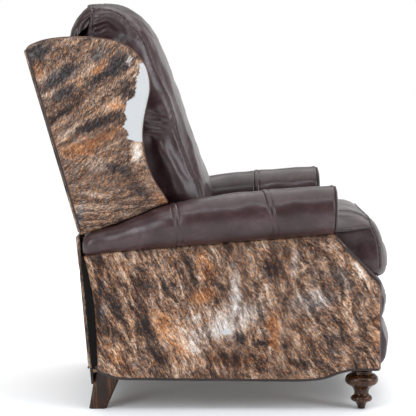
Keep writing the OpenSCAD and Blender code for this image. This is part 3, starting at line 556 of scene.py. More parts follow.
def hide(name, lays, patches, whites=(), lift=0.0, warm=0.0, by="Z", blaze=None,
         stripes=(130, 22, 0.95)):
    """Lays are (place, hair angle, band angle): from the top down by "Z", from the rear by "X",
    each used past the one before. Patches are ovals: (x, z, half length, half height, tilt, lift,
    warm, ash), which lighten, redden or grey the hair. Whites are (x, z, half length, half
    height, tilt, raggedness), and a blaze is white in front of its line of (x, z). Stripes are
    (length, width, strength) of the brindle's bands. The tone is their strength times (bands less
    a half), plus weighted tufts and fine tufts, less a constant that brings the mean to 0.4."""
    finish, tree, at, shader = new_finish(name)
    swayed = pushed(tree, at, wander(tree, at, 8.0, 2.0), 0.035)
    height = node(tree, "SeparateXYZ", {0: swayed})[by]
    reach = LAY_BLEND if by == "X" else -LAY_BLEND
    bands = tufts = fine = None
    for place, hair_angle, band_angle in lays:
        layer = (noise(tree, along_hair(tree, swayed, band_angle, *stripes[:2]), 1.0, 3, 0.6, 0.5),
                 noise(tree, along_hair(tree, swayed, hair_angle, *TUFT), 1.0, 3, 0.7, 0.2),
                 noise(tree, along_hair(tree, swayed, hair_angle, *FINE_TUFT), 1.0, 3, 0.7, 0.15))
        if bands is None:
            bands, tufts, fine = layer
        else:
            past = remap(tree, height, (place - reach)*MM, (place + reach)*MM)
            bands, tufts, fine = (node(tree, "Mix", {0: past, 2: old, 3: new})[0]
                                  for old, new in zip((bands, tufts, fine), layer))
    tone = maths(tree, "MULTIPLY", maths(tree, "SUBTRACT", bands, 0.5), stripes[2])
    tone = plus(tree, plus(tree, tone, tufts, TUFT_WEIGHT), fine, FINE_WEIGHT)
    tone = maths(tree, "SUBTRACT", tone, 0.475 - lift)
    ragged = wander(tree, along_hair(tree, at, lays[0][1], 26, 9), 1.0, 5.0, 0.72)
    frayed = pushed(tree, at, ragged, 0.045)
    other = noise(tree, along_hair(tree, swayed, lays[0][1], 12, 5), 1.0, 4, 0.75, 0.2)
    red = remap(tree, other, 0.36, 0.48, 0.75 + warm, warm)
    grey = remap(tree, other, 0.52, 0.60, 0.0, 0.8)
    for x, z, long, high, tilt, up, redder, greyer in patches:
        inside = remap(tree, oval(tree, frayed, x, z, long, high, tilt), 0.35, 1.3, 1.0, 0.0)
        tone = plus(tree, tone, inside, 1.5*up)
        if redder:
            red = plus(tree, red, inside, redder)
        if greyer:
            grey = plus(tree, grey, inside, greyer)
    clamped = [node(tree, "Clamp", {0: value})[0] for value in (red, grey)]
    hair = blend_colours(tree, clamped[0], ramp(tree, tone, HAIR), ramp(tree, tone, WARM))
    hair = blend_colours(tree, clamped[1], hair, ramp(tree, tone, ASH))
    for x, z, long, high, tilt, rough_edge in whites:
        rough_at = pushed(tree, at, ragged, rough_edge*MM)
        inside = remap(tree, oval(tree, rough_at, x, z, long, high, tilt), 0.92, 1.04, 1.0, 0.0)
        hair = blend_colours(tree, inside, hair, blend_colours(tree, fine, *WHITE_HAIR))
    if blaze:
        jagged = noise(tree, along_hair(tree, at, lays[0][1], 9, 4), 1.0, 4, 0.7)
        front = plus(tree, ahead_of(tree, at, blaze), maths(tree, "SUBTRACT", jagged, 0.5), BLAZE_RAGGED)
        pale = blend_colours(tree, fine, *BLAZE_HAIR)
        hair = blend_colours(tree, remap(tree, front, -1.5, 1.5), hair, pale)
    tree.links.new(hair, shader.inputs["Base Color"])
    shader.inputs["Roughness"].default_value = 0.6
    shader.inputs["Specular IOR Level"].default_value = 0.2
    shader.inputs["Sheen Weight"].default_value = 0.04
    shader.inputs["Sheen Roughness"].default_value = 0.45
    bumped(tree, shader, [(bands, 0.2, 0.004), (tufts, 0.5, 0.0014), (fine, 0.5, 0.0006)])
    return finish


# %% [markdown]
# Each panel was cut from its own part of the skin, so each gets its own patches, and on the near
# side a few are painted shade and painted reflections at the rear edge. They are given as ovals on
# the near side; the far side and the back, which the photograph doesn't show, have quieter ones of the same
# family.

# %% The hide of each panel
SIDE_HIDE = hide("hide_side", [(0, -60, -62), (60, -50, -74), (190, -42, -58)], [
    (-197, 345, 22, 13, -50, -0.13, 0, 0), (-125, 334, 32, 10, -65, -0.13, 0, 0.2),
    (-255, 280, 60, 12, -60, -0.1, 0, 0.3), (-230, 380, 60, 14, -50, 0.07, 0.2, 0),
    (-164, 205, 82, 18, -63, -0.13, 0, 0.25), (-92, 200, 84, 56, -62, 0.11, 0.25, 0),
    (-130, 240, 28, 20, -60, 0.0, 1.0, 0), (-112, 190, 60, 15, -44, 0.0, 1.0, 0),
    (-46, 190, 60, 20, -68, 0.1, 0, 0.4), (-40, 246, 16, 12, 0, 0.12, 0, 0.5),
    (-22, 384, 46, 20, -65, 0.06, 0.9, 0), (-8, 363, 24, 7, -62, -0.2, 0, 0),
    (-50, 352, 26, 7, -60, -0.17, 0, 0), (-24, 308, 34, 18, 10, -0.02, 1.0, 0),
    (36, 434, 22, 11, -60, -0.2, 0, 0), (60, 322, 60, 17, -88, 0.17, 0, 0.7),
    (76, 262, 80, 40, 5, 0.13, 0.0, 0.6), (152, 388, 42, 22, -80, -0.17, 0.1, 0),
    (214, 392, 50, 11, -88, 0.13, 0, 0.5), (157, 216, 52, 16, -84, -0.05, 1.2, 0),
    (190, 173, 10, 7, -40, -0.16, 0, 0.3), (126, 184, 10, 7, 0, -0.14, 0, 0.3),
    (70, 197, 19, 17, 0, -0.15, 0, 0.5), (64, 250, 20, 7, 70, -0.12, 0, 0),
    (16, 214, 60, 24, 8, 0.14, 0, 0.7), (-130, 147, 30, 20, -60, -0.13, 0, 0),
    (50, 138, 90, 20, -4, -0.13, 0.35, 0), (224, 128, 34, 10, -14, -0.16, 0, 0),
    (-253, 142, 46, 20, -50, 0.0, 0.6, 0), (316, 189, 30, 24, 0, -0.03, 0, 0.3),
    (336, 350, 46, 22, -48, -0.03, 0, 0.5), (268, 362, 34, 20, -60, -0.03, 0, 0.3),
    (262, 292, 70, 34, 0, 0.06, 0, 0.7), (306, 277, 32, 13, 0, 0.04, 0.6, 0),
    (385, 366, 60, 9, -46, 0.14, 0.2, 0.2), (425, 215, 12, 60, 0, 0.02, 0.5, 0),
    # The thin dark-brown strip along the rear edge stands partly for a dark leather edge and partly for
    # painted shade; the two grey streaks beside it are painted reflections.
    (-240, 270, 150, 62, -60, -0.06, 0.1, 0), (-300, 250, 170, 9, 86, -0.2, 0.5, 0),
    (-290, 330, 22, 6, 78, 0.0, 0, 1.3), (-284, 262, 30, 7, 72, 0.0, 0, 1.3)],
    whites=[(37, 212, 13, 7, 10, 16)], lift=0.015, warm=0.12, by="X", stripes=(60, 16, 1.15))
SIDE_HIDE_FAR = hide("hide_side_far", [(0, -60, -66)], [
    (-180, 280, 150, 40, -60, -0.15, 0, 0.2), (40, 230, 90, 50, -60, 0.15, 0.4, 0),
    (200, 330, 90, 40, -60, -0.1, 0, 0.4), (180, 180, 90, 40, -50, 0.0, 0.6, 0)])
WING_HIDE = hide("hide_wing", [(0, 66, 36), (730, 50, 34), (600, 14, 6)], [
    (-454, 932, 46, 18, 28, -0.12, 0, 1.0), (-392, 872, 64, 20, 30, -0.13, 0, 0.9),
    (-387, 830, 34, 14, 30, -0.13, 0, 0.8), (-294, 927, 30, 15, 35, -0.08, 0, 0.7),
    (-243, 903, 46, 24, 40, -0.12, 0, 0.8), (-294, 868, 34, 12, 35, -0.1, 0, 0.4),
    (-219, 840, 24, 24, 0, -0.14, 0, 0.4), (-290, 896, 32, 9, 42, 0.0, 0.9, 0),
    (-448, 896, 12, 26, 0, 0.0, 0.6, 0), (-253, 798, 34, 12, 12, 0.09, 0.8, 0),
    (-392, 774, 52, 8, 34, -0.17, 0, 0.2), (-300, 753, 76, 12, 20, -0.15, 0, 0.4),
    (-371, 729, 44, 9, 42, 0.15, 0, 0), (-340, 688, 50, 20, 12, -0.02, 1.0, 0),
    (-279, 719, 42, 11, 26, -0.02, 0.7, 0), (-289, 642, 32, 18, 20, 0.07, 0, 0.3),
    (-243, 636, 40, 12, -20, -0.13, 0, 0.4), (-187, 580, 30, 18, -20, -0.11, 0, 0.2),
    (-346, 507, 46, 9, 80, 0.0, 0, 1.2), (-302, 570, 42, 6, -5, 0.12, 0, 0.3),
    (-135, 560, 30, 12, -30, 0.0, 0.7, 0), (-214, 916, 9, 15, 0, 0.28, 0, 0.8),
    (-196, 685, 16, 30, 0, 0.24, 0, 0.3)],
    lift=0.02, warm=0.04, blaze=[
        (-170, 912), (-187, 906), (-188, 883), (-195, 872), (-195, 855), (-199, 840), (-198, 825),
        (-208, 817), (-221, 808), (-222, 791), (-228, 783), (-221, 770), (-221, 761), (-231, 745),
        (-220, 734), (-216, 723), (-221, 714), (-206, 710), (-190, 706), (-60, 700)],
    stripes=(110, 17, 0.75))
WING_HIDE_FAR = hide("hide_wing_far", [(0, 60, 30), (700, 40, 24), (600, 8, 6)], [
    (-400, 880, 80, 40, 20, -0.1, 0, 0.6), (-300, 700, 120, 30, 30, 0.05, 0.5, 0)])
BACK_HIDE = hide("hide_back", [(0, -86, -80)], [(-420, 760, 900, 90, 0, -0.03, 0.1, 0.3)])
print("nodes of the near side's hide:", len(SIDE_HIDE.node_tree.nodes))

# %% [markdown]
# The remaining finishes belong to the joinery and the mechanism: stained walnut legs, plain
# beech rails, bright steel links, black canvas and white nylon. Wood is noise stretched along
# the grain, steel is noise stretched along the brushing, and cloth is two crossed sets of
# threads. Nylon and sewing thread are plain enough to serve as a wood without a grain.

# %% Wood, steel, canvas, nylon and thread
def timber(name, tones, grain, rough, coat):
    """Tones are dark, middle and light. Grain is the size of the figure, in millimetres, along
    x, y and z."""
    finish, tree, at, shader = new_finish(name)
    stretched = node(tree, "Mapping", {"Vector": at, "Scale": tuple(g*MM for g in grain)},
                     vector_type="TEXTURE")[0]
    figure = noise(tree, stretched, 1.0, 5, 0.6, 1.2)
    pores = noise(tree, stretched, 7.0, 3, 0.6)
    tree.links.new(ramp(tree, figure, list(zip((0.32, 0.5, 0.68), tones))), shader.inputs["Base Color"])
    tree.links.new(remap(tree, pores, 0.3, 0.7, rough + 0.06, rough - 0.06), shader.inputs["Roughness"])
    shader.inputs["Specular IOR Level"].default_value = 0.3
    shader.inputs["Coat Weight"].default_value = coat
    shader.inputs["Coat Roughness"].default_value = 0.2
    bumped(tree, shader, [(pores, 0.2, 0.0004)])
    return finish


def metal(name, rgb, rough):
    """Brushed metal: its streaks are 90 mm long in x and y and 1.2 mm apart in z."""
    finish, tree, at, shader = new_finish(name)
    brushed = node(tree, "Mapping", {"Vector": at, "Scale": (0.09, 0.09, 0.0012)}, vector_type="TEXTURE")[0]
    lines = noise(tree, brushed, 1.0, 3, 0.6)
    clouds = noise(tree, at, 30, 3)
    tree.links.new(blend_colours(tree, clouds, tuple(0.8*c for c in rgb), rgb), shader.inputs["Base Color"])
    tree.links.new(remap(tree, lines, 0.3, 0.7, rough - 0.08, rough + 0.1), shader.inputs["Roughness"])
    shader.inputs["Metallic"].default_value = 1.0
    bumped(tree, shader, [(lines, 0.12, 0.0003)])
    return finish


def woven(name, rgb, thread):
    """Two crossed sets of threads, thread apart in millimetres. A wave texture repeats every
    2 pi/(20 scale)."""
    finish, tree, at, shader = new_finish(name)
    scale = math.pi/(10*thread*MM)
    across = node(tree, "TexWave", {"Vector": at, "Scale": scale}, bands_direction="Y")["Fac"]
    along = node(tree, "TexWave", {"Vector": at, "Scale": scale}, bands_direction="X")["Fac"]
    weave = maths(tree, "MULTIPLY", across, along)
    cloud = noise(tree, at, 20, 3)
    tone = blend_colours(tree, weave, tuple(0.45*c for c in rgb), rgb)
    faded = blend_colours(tree, remap(tree, cloud, 0.3, 0.7, 0, 0.35), tone, tuple(1.5*c for c in rgb))
    tree.links.new(faded, shader.inputs["Base Color"])
    shader.inputs["Roughness"].default_value = 0.85
    shader.inputs["Specular IOR Level"].default_value = 0.15
    bumped(tree, shader, [(weave, 0.5, 0.0006)])
    return finish


WALNUT_TONES = (0.008, 0.0028, 0.0012), (0.032, 0.011, 0.0035), (0.12, 0.042, 0.013)
BEECH_TONES = (0.36, 0.22, 0.12), (0.46, 0.3, 0.17), (0.56, 0.39, 0.24)
NYLON_TONES = (0.66, 0.65, 0.61), (0.72, 0.71, 0.67), (0.76, 0.75, 0.71)
THREAD_TONES = (0.03, 0.022, 0.02), (0.045, 0.033, 0.03), (0.06, 0.045, 0.04)
WALNUT = timber("walnut", WALNUT_TONES, (14, 14, 120), 0.24, 0.05)
BEECH = timber("beech", BEECH_TONES, (90, 90, 9), 0.6, 0.0)
BEECH_UP = timber("beech_upright", BEECH_TONES, (9, 9, 120), 0.6, 0.0)
STEEL = metal("steel", (0.5, 0.5, 0.51), 0.34)
CANVAS = woven("canvas", (0.03, 0.028, 0.026), 1.6)
BLACK_CLOTH = woven("black_cloth", (0.006, 0.0045, 0.004), 0.9)
SUEDE = woven("suede", (0.36, 0.37, 0.40), 0.7)
NYLON = timber("nylon", NYLON_TONES, (6, 6, 6), 0.5, 0.0)
THREAD = timber("thread", THREAD_TONES, (3, 3, 3), 0.6, 0.0)
print("finishes:", len(bpy.data.materials))

# %% [markdown]
# The measures below repeat those of the CAD source, because the script may read only the packed
# frame. Across the chair they are the inner face of the arms, the inner face of the frame, the
# skin of the side panels and the middle of the arm rolls' outer arc. The back leans, so places
# on it are given by u up the outside back and v forward through its thickness.

# %% Measures
INNER, FRAME_IN, PANEL_OUT, CREST = 262, 272, 345, 337
PIVOT = np.array([-334.0, 474.0])
LEAN = math.radians(16.1)
ROLL_REAR, ROLL_FRONT = -336, 320
BACK_FOOT = PIVOT + [-14, -4]
UP_BACK = np.array([-math.sin(LEAN), math.cos(LEAN)])
THROUGH_BACK = np.array([math.cos(LEAN), math.sin(LEAN)])


def on_back(u, v):
    """The places (x, z) at u and v: the foot, plus u along the lean, plus v square to it."""
    return BACK_FOOT + np.multiply.outer(u, UP_BACK) + np.multiply.outer(v, THROUGH_BACK)


def share(x):
    """How far along the arm roll x lies, from 0 at its rear to 1 at its front."""
    return (np.asarray(x, float) - ROLL_REAR)/(ROLL_FRONT - ROLL_REAR)


def roll_top(x):
    """Crest of the arm roll: it rises fast at the rear and flattens towards the front."""
    rise = [[0, 0], [0.15, 0.25], [0.37, 0.67], [0.58, 0.83], [0.8, 0.94], [1, 1]]
    knots = flowing(rise, np.linspace(0, 1, 80))
    return 462 + 132*np.interp(share(x), knots[:, 0], knots[:, 1])


def roll_low(x):
    """Underside of the arm roll: a straight rise that dips by 6 at the rear end."""
    return 416 + 53*share(x) - 6*np.clip(1 - share(x), 0, 1)**9


def rear_face(z):
    """The lower rear of the chair leans from x -354 at z 462 to x -324 at z 115."""
    return -354 + 30*(462 - np.asarray(z, float))/347


print("arm rolls' crest:", roll_top([ROLL_REAR, ROLL_FRONT]).round(), "mm")

# %% [markdown]
# The front legs are turned on a lathe: a flat cap, a fat bead, a waist, a ring and a small foot.
# Blender's Screw modifier could spin the outline, and a grid of angle by height does the same in
# one step. The rear legs are sawn, straight in front and with a slight sweep behind, and their
# corners are planed off.

# %% Turned front legs and swept rear legs
def turned(outline, at, sides=72):
    """Outline points (radius, z), spun about an upright line through (x, w)."""
    outline = np.asarray(outline, float)
    angle = 2*np.pi*np.arange(sides)/sides
    x = at[0] + outline[:, :1]*np.cos(angle)
    y = -at[1] + outline[:, :1]*np.sin(angle)
    rings = np.stack([x, y, np.broadcast_to(outline[:, 1:], x.shape)], -1)
    ends = [[at[0], -at[1], outline[0, 1]], [at[0], -at[1], outline[-1, 1]]]
    return skin(rings, ends)


bead = [[31 + 13*math.cos(a), 78 + 14*math.sin(a)] for a in np.radians(np.arange(-66, 67, 12))]
ring = [[20.4 + 8.2*math.cos(a), 28 + 8*math.sin(a)] for a in np.radians(np.arange(-60, 61, 20))]
leg_outline = ([[0.5, 0], [8.6, 0], [9.8, 1.2], [10.4, 6], [12.5, 12], [16.5, 17.5], [20.5, 19.6]] + ring
               + [[21.4, 36.6], [19.6, 39.5], [18.8, 45], [20.4, 51], [24.5, 57], [30, 61.5],
                  [33.6, 63.6]] + bead
               + [[34, 92.6], [29.2, 93.4], [28.2, 95], [28.4, 102], [28, 105], [0.5, 105]])
front_leg = turned(leg_outline, (393, 298.5))
add_both("turned_leg", front_leg, "base", WALNUT, "front_leg")

fall = np.linspace(0, 1, 24)
leg_rear = np.stack([PIVOT[0] + 24 - 14*fall - 2*fall**3, 100*(1 - fall)], -1)
leg_front = np.stack([PIVOT[0] + 97 - 43*fall, 100*(1 - fall)], -1)


def planed(low, high, w0, w1, cut):
    """Bar between two edge lines of (x, z) and from w0 to w1 across. Its section is a rectangle
    with its corners planed off by cut."""
    depth = np.linalg.norm(high - low, axis=1)[:, None]
    run = (high - low)/depth
    start = np.zeros_like(depth)
    a = np.hstack([start + cut, depth - cut, depth, depth, depth - cut, start + cut, start, start])
    w = np.array([w0, w0, w0 + cut, w1 - cut, w1, w1, w1 - cut, w0 + cut], float)
    place = low[:, None] + a[..., None]*run[:, None]
    return skin(at_side(place, w))


rear_leg = planed(leg_rear, leg_front, 262, 308, 6)
add_both("swept_leg", rear_leg, "base", WALNUT, "rear_leg", bevel=0.8)
print("legs:", len(front_leg[0]), "points each")

# %% [markdown]
# The outside of each arm is a hide panel pulled over padding: almost flat, rounded over at its
# edges, with a dark piping cord along its scooped lower edge. A plane with thickness would look
# like board, so the grid falls away at the rim as the pulled hide does.

# %% Side panels and their piping
t_long = eased(90)
t_short = eased(64)
low_line = [[-301, 113], [-291, 104], [-280, 100], [-247, 90], [-189, 88], [-60, 86.5], [60, 85.5],
            [150, 84.5], [254, 85.5], [293, 91], [332, 105], [358, 111], [436.5, 112.5]]
side_low = flowing(low_line, t_long)
side_high = flowing([[PIVOT[0], 410], [-318, 413.5], [-300, 416.8], [-270, 420.4], [-235, 423.4],
                     [-100, 434.4], [60, 447.3], [316, 468]], t_long)
side_rear = flowing([[-301, 113], [-303, 202], [-308, 279], [-322, 362], [-334, 410]], t_short)
side_front = bent([[436.5, 112.5], [436.5, 324], [431.5, 338], [316, 468]], t_short)
side_face = patch(side_low, side_high, side_rear, side_front)
edge = to_rim(side_face)
crown = 1.5*np.sin(np.pi*np.clip(edge/200, 0, 0.5))
soft = 0.9*ripples(side_face, 120, 3)*np.clip(edge/40, 0, 1)
side_slab = slab(side_face, PANEL_OUT - 2 + crown + soft - rolled(edge, 5), 318)
add_both("side_hide", side_slab, "base", SIDE_HIDE, "side_panel", SIDE_HIDE_FAR)

cord_xz = flowing([[-304, 122]] + low_line, np.linspace(0, 1, 150))
cord = rope(at_side(cord_xz - [0, 0.5], 341.5), 3.6)
add("side_piping", [cord, mirrored(cord)], "base", WELT)
print("side panel reaches", round(float(-side_slab[0][:, 1].min()), 1), "mm from the middle")

# %% [markdown]
# Down the front edge of each arm runs a padded leather strip. It is one section, a soft
# rectangle, carried along a path that goes straight up and then leans back to the arm roll. A
# thin cord closes its sloping part against the side panel.

# %% Front edges of the arms
def strip_along(path, wide, thick, crown, round_off):
    """Soft strip: a section of half-rounded corners, wide (w0, w1) across and thick deep, is
    carried along a path of (x, z) with its outer face on the path."""
    run = np.gradient(path, axis=0)
    run /= np.linalg.norm(run, axis=1, keepdims=True)
    inward = np.stack([-run[:, 1], run[:, 0]], -1)
    s = np.linspace(0, 1, 15)
    w = wide[0] + (wide[1] - wide[0])*s
    edge_gap = np.minimum(w - wide[0], wide[1] - w)
    depth = rolled(edge_gap, round_off) - crown*np.sin(np.pi*s)
    across = np.r_[w, w[::-1]]
    deep = np.r_[depth, np.full(15, thick)]
    place = path[:, None] + deep[None, :, None]*inward[:, None]
    return skin(at_side(place, across))


front_edge = np.array([[439, 113], [439, 341], [324, 456.7]])
corner_path = np.vstack([
    bent(front_edge[:2], np.linspace(0, 0.93, 22)),
    flowing(front_edge[1] + [[0, -16], [-3, 2], [-14, 14]], np.linspace(0, 1, 9))[1:],
    bent(front_edge[1:], np.linspace(0.16, 1.0, 16))])
facing = strip_along(corner_path, (263, 341), 7.5, 1.0, 4)
add_both("arm_edge", facing, "base", LEATHER, "arm_facing")
slope = corner_path[corner_path[:, 1] > 330] + [-5.5, 0]
facing_cord = rope(at_side(slope, 342.5), 2.6)
add("arm_edge_piping", [facing_cord, mirrored(facing_cord)], "base", WELT)
print("arm edge:", len(corner_path), "sections")

# %% [markdown]
# The arm roll is the piece that shows the leather best. Its section is round outside and oval
# inside, and grows from a small rear end to a full front one. Two felled seams cross it, slanting
# a little. The grid lines are sheared so that each seam lies along one of them, which keeps a
# seam crisp with few points. The front end is drawn in to a piped, domed disc. Below, each ring
# is closed by seven points that rest on the arm's rail.

# %% Arm rolls
SEAMS = ((-104, 20), (133, 29))


def roll_section(x, angle, inset):
    """Point of the roll at a distance along, an angle about its middle, and drawn in by inset.
    Outside, the radius is the same all round; inside, the section is an oval that reaches the
    arm's inner face and is as high as the roll."""
    top, low = roll_top(x), roll_low(x)
    r = (top - low)/2
    shrink = 1 - inset/r
    inside = CREST - INNER
    wide = np.where(np.cos(angle) < 0, inside, r)
    w = CREST - inside/2 + (wide*np.cos(angle) + inside/2)*shrink
    z = low + r + r*np.sin(angle)*shrink
    return w, z


def seam_shape(away):
    """Height of a felled seam: a lap 1.3 thick and 11 wide, with a stitched dent on both sides."""
    lap = 1/(1 + np.exp((np.abs(away) - 5.5)/0.7))
    dent = np.exp(-((np.abs(away) - 7.6)/1.6)**2)
    return 1.3*lap - 1.5*dent


beside = np.array([3, 5, 6.2, 7.4, 8.6, 10, 12])
lines = np.arange(ROLL_REAR, 296, 7.0)
for at_x, _ in SEAMS:
    lines = lines[np.abs(lines - at_x) > 13]
    lines = np.r_[lines, at_x + np.r_[-beside, 0, beside]]
lines = np.sort(np.r_[lines, 296, 300, 304, 307])
nose = np.array([[310, 1.0], [312.5, 2.8], [314.3, 5.0], [315.6, 6.4], [317, 6.2], [318.6, 7.6],
                 [320.2, 10.5], [321.2, 15], [322, 24], [322.6, 34], [323, 46]])
along = np.r_[lines, nose[:, 0]]
inset = np.r_[np.zeros(len(lines)), nose[:, 1]]
inset[:4] += [6, 2, 0.5, 0]
angle = np.linspace(np.pi, -np.pi/2, 58)
fall_down = np.clip((np.pi/2 - angle)/np.radians(130), 0, 1)
knots_x = [ROLL_REAR, SEAMS[0][0], SEAMS[1][0], 296, 330]
shear = np.interp(along, knots_x, [0, SEAMS[0][1], SEAMS[1][1], 4, 0])
X = along[:, None] + shear[:, None]*fall_down[None]*(inset[:, None] < 1)
W, Z = roll_section(X, angle[None], inset[:, None])
lift = sum(seam_shape(along - at_x) for at_x, _ in SEAMS)[:, None]*np.ones_like(angle)[None]
pucker = sum(np.exp(-np.abs(along - at_x)/16) for at_x, _ in SEAMS)[:, None]
gather = np.exp(-np.clip(309 - along, 0, None)/14)[:, None]*(along < 315)[:, None]
at3 = np.stack([X, W, Z], -1)
lift = lift + 1.1*ripples(at3, 90, 11) + 0.5*pucker*ripples(at3*[1, 3, 3], 60, 12)
lift = lift + 1.3*gather*np.cos(34*angle)[None]*(0.6 + 0.4*ripples(at3, 40, 13))
lift = lift*np.clip((X - ROLL_REAR)/40, 0, 1)*np.clip((324 - X)/14, 0, 1)*(np.sin(angle) > -0.97)[None]
W = W + lift*np.cos(angle)[None]
Z = Z + lift*np.sin(angle)[None]
Z = np.maximum(Z, roll_low(X) - 1)
foot_w = np.array([326, 317, 317, 300, 280, INNER + 2, INNER])
foot_drop = np.array([0, 0, 11, 11.5, 11.5, 11.5, 9])
foot_x = X[:, -1:]*np.ones(7)
roll_rings = np.stack([np.hstack([X, foot_x]), -np.hstack([W, foot_w + 0*foot_x]),
                       np.hstack([Z, roll_low(foot_x) - foot_drop])], -1)
roll_ends = [[ROLL_REAR, -300, 436], [323, -300, 530]]
arm = skin(roll_rings, roll_ends)
add_both("arm_roll_leather", arm, "base", LEATHER, "arm_roll")

ring_x = np.full(90, 315.8)
ring_w, ring_z = roll_section(ring_x, np.linspace(np.pi, -np.pi/2, 90), 4.4)
disc_cord = rope(np.stack([ring_x, -ring_w, ring_z], -1), 2.4, up=(1, 0, 0))
add("arm_end_piping", [disc_cord, mirrored(disc_cord)], "base", WELT)
print("arm roll:", roll_rings.shape[0], "by", roll_rings.shape[1], "points")

# %% [markdown]
# Inside each arm a thin leather pad covers the posts. Only its top shows above the seat, but it
# fills the view from the front when the footrest is up.

# %% Inner pads
pad_low = bent([[-248, 341], [429, 337]], t_long)
pad_high = bent([[-248, 411], [429 - 113, 456]], t_long)
pad_rear = bent([[-248, 341], [-248, 411]], t_short)
pad_front = bent([[429, 337], [429, 340], [316, 456]], t_short)
pad_face = patch(pad_low, pad_high, pad_rear, pad_front)
pad_edge = to_rim(pad_face)
pad_slab = slab(pad_face, FRAME_IN - 0.3, INNER + 0.2 + 0.5*rolled(pad_edge, 6))
add_both("inner_pad_leather", pad_slab, "base", LEATHER, "arm_inner_pad")
print("inner pad:", pad_face.shape[0], "by", pad_face.shape[1], "points")

# %% [markdown]
# The rear is closed by a hide panel over the frame, with a leather hem below. They are soft slabs
# as at the sides, turned to face rearwards: the grid is laid out over width and height, and its
# depth is the lean of the rear. A strip of black cloth closes each rear corner from the side.

# %% Rear panel, corner strips and hem
def grid_across(half, low, high, cols, rows):
    """Grid of (w, height) from -half to half and from low to high, and its distances from the rim."""
    w = bent([[-half, 0], [half, 0]], eased(cols))[:, 0]
    z = bent([[0, low], [0, high]], eased(rows))[:, 1]
    grid = np.dstack(np.meshgrid(w, z, indexing="ij"))
    return grid, to_rim(grid)


def rear_slab(half, z0, z1, thick, crown, round_off, seed):
    """Slab across the chair on the leaning rear face, with its skin crowned and its rim rounded."""
    grid, gap = grid_across(half, z0, z1, 80, 60)
    uneven = 0.7*ripples(grid, 130, seed)*np.clip(gap/30, 0, 1)
    out = crown*np.clip(gap/60, 0, 1)**0.5 - rolled(gap, round_off) + uneven
    depths = (rear_face(grid[..., 1]) - out, rear_face(grid[..., 1]) + thick)
    return sheet(*[np.dstack([x, grid[..., 0], grid[..., 1]]) for x in depths])


add("rear_hide", [rear_slab(335, 115, 462, 7.8, 2.5, 6, 21)], "base", BACK_HIDE, ["rear_panel"])
hem = rear_slab(330, 71, 114.6, 5.4, 0.0, 1.5, 22)
hem = (hem[0] + [2.6, 0, 0], hem[1])
add("rear_hem_leather", [hem], "base", WELT, ["rear_hem"])
hem_z = np.full(60, 114.0)
hem_cord = rope(np.stack([rear_face(hem_z) - 1, np.linspace(-333, 333, 60), hem_z], -1), 3.0, up=(0, 0, 1))
add("rear_piping", [hem_cord], "base", WELT)

gusset_z = np.linspace(113, 409, 64)
gusset_rear = np.stack([rear_face(gusset_z) + 8.4, gusset_z], -1)
gusset_front = flowing([[-301, 113], [-303, 202], [-309, 279], [-323, 362], [-335.5, 409]],
                       np.linspace(0, 1, 64))
gusset_share = np.linspace(0, 1, 12)
gusset_face = gusset_rear[None] + gusset_share[:, None, None]*(gusset_front - gusset_rear)[None]
gusset = slab(gusset_face, 340.0 + 1.2*np.sin(np.pi*gusset_share)[:, None], 316)
add("rear_corner_cloth", [gusset, mirrored(gusset)], "base", BLACK_CLOTH, ["rear_gussets"])
print("rear corner cloth:", len(gusset[0]), "points on each side")

# %% [markdown]
# The outside back is one hide panel on the leaning back frame. It rolls over at its edges, where
# a dark piping cord closes it against the wings.

# %% Outside back
def leaning_slab(half, u0, u1, v_in, crown, round_off, seed):
    """Slab on the leaning back: a grid over width and u, whose skin stands out towards the rear."""
    grid, gap = grid_across(half, u0, u1, 90, 80)
    v_out = (-crown*np.clip(gap/90, 0, 1)**0.5 + rolled(gap, round_off)
             + 0.9*ripples(grid, 150, seed)*np.clip(gap/30, 0, 1))
    face = on_back(grid[..., 1], 0*v_out)
    xz = [face + v[..., None]*THROUGH_BACK for v in (v_out, np.full_like(v_out, v_in))]
    return sheet(*[np.dstack([p[..., 0], grid[..., 0], p[..., 1]]) for p in xz])


back_slab = leaning_slab(335, 0, 490, 5.4, 3, 5, 31)
add("outside_back_hide", [back_slab], "back", BACK_HIDE, ["outside_back"])
back_cord_xz = on_back(np.linspace(2, 489, 90), 7.0)
back_cord = rope(at_side(back_cord_xz, 334.5), 2.8)
add("outside_back_piping", [back_cord, mirrored(back_cord)], "back", WELT)
print("outside back:", len(back_slab[0]), "points")

# %% [markdown]
# A wing is a shaped board, hide outside and padded leather inside. Its outline is scooped at the
# front, so the grid is spanned between four edges: along the back, over the top, down the scoop
# and along the arm. The two skins meet in a thin rust-brown edge.

# %% Wings
wing_rear_line = [[-345, 466], [-380, 590], [-432, 768], [-480.5, 936]]
wing_top_line = [[-480.5, 936], [-472, 949], [-455, 958], [-429, 966.5], [-390, 972], [-339, 974],
                 [-288, 970], [-250, 963], [-222, 952]]
wing_front_line = [[-222, 952], [-204, 938], [-186, 919], [-172, 897], [-164, 868], [-162.5, 839],
                   [-170, 801], [-178, 762], [-181.5, 724], [-178, 685], [-167, 639], [-149, 600],
                   [-130, 571], [-116, roll_top(-116) + 3]]
wing_low_x = (-336, -322, -300, -270, -240, -205, -170, -140, -116)
wing_low_line = [[-345, 466]] + [[x, roll_top(x) + 3] for x in wing_low_x]
wing_face = patch(flowing(wing_low_line, t_short), flowing(wing_top_line, t_short),
                  bent(wing_rear_line, t_long), flowing(wing_front_line[::-1], t_long))
wing_edge = to_rim(wing_face)
wing_soft = 0.8*ripples(wing_face, 110, 41)*np.clip(wing_edge/40, 0, 1)
wing_crown = 1.5*np.clip(wing_edge/60, 0, 1)
wing_slab = slab(wing_face, 335 + wing_crown + wing_soft - rolled(wing_edge, 8), 318.2)
add_both("wing_hide", wing_slab, "back", WING_HIDE, "wing_panel", WING_HIDE_FAR)

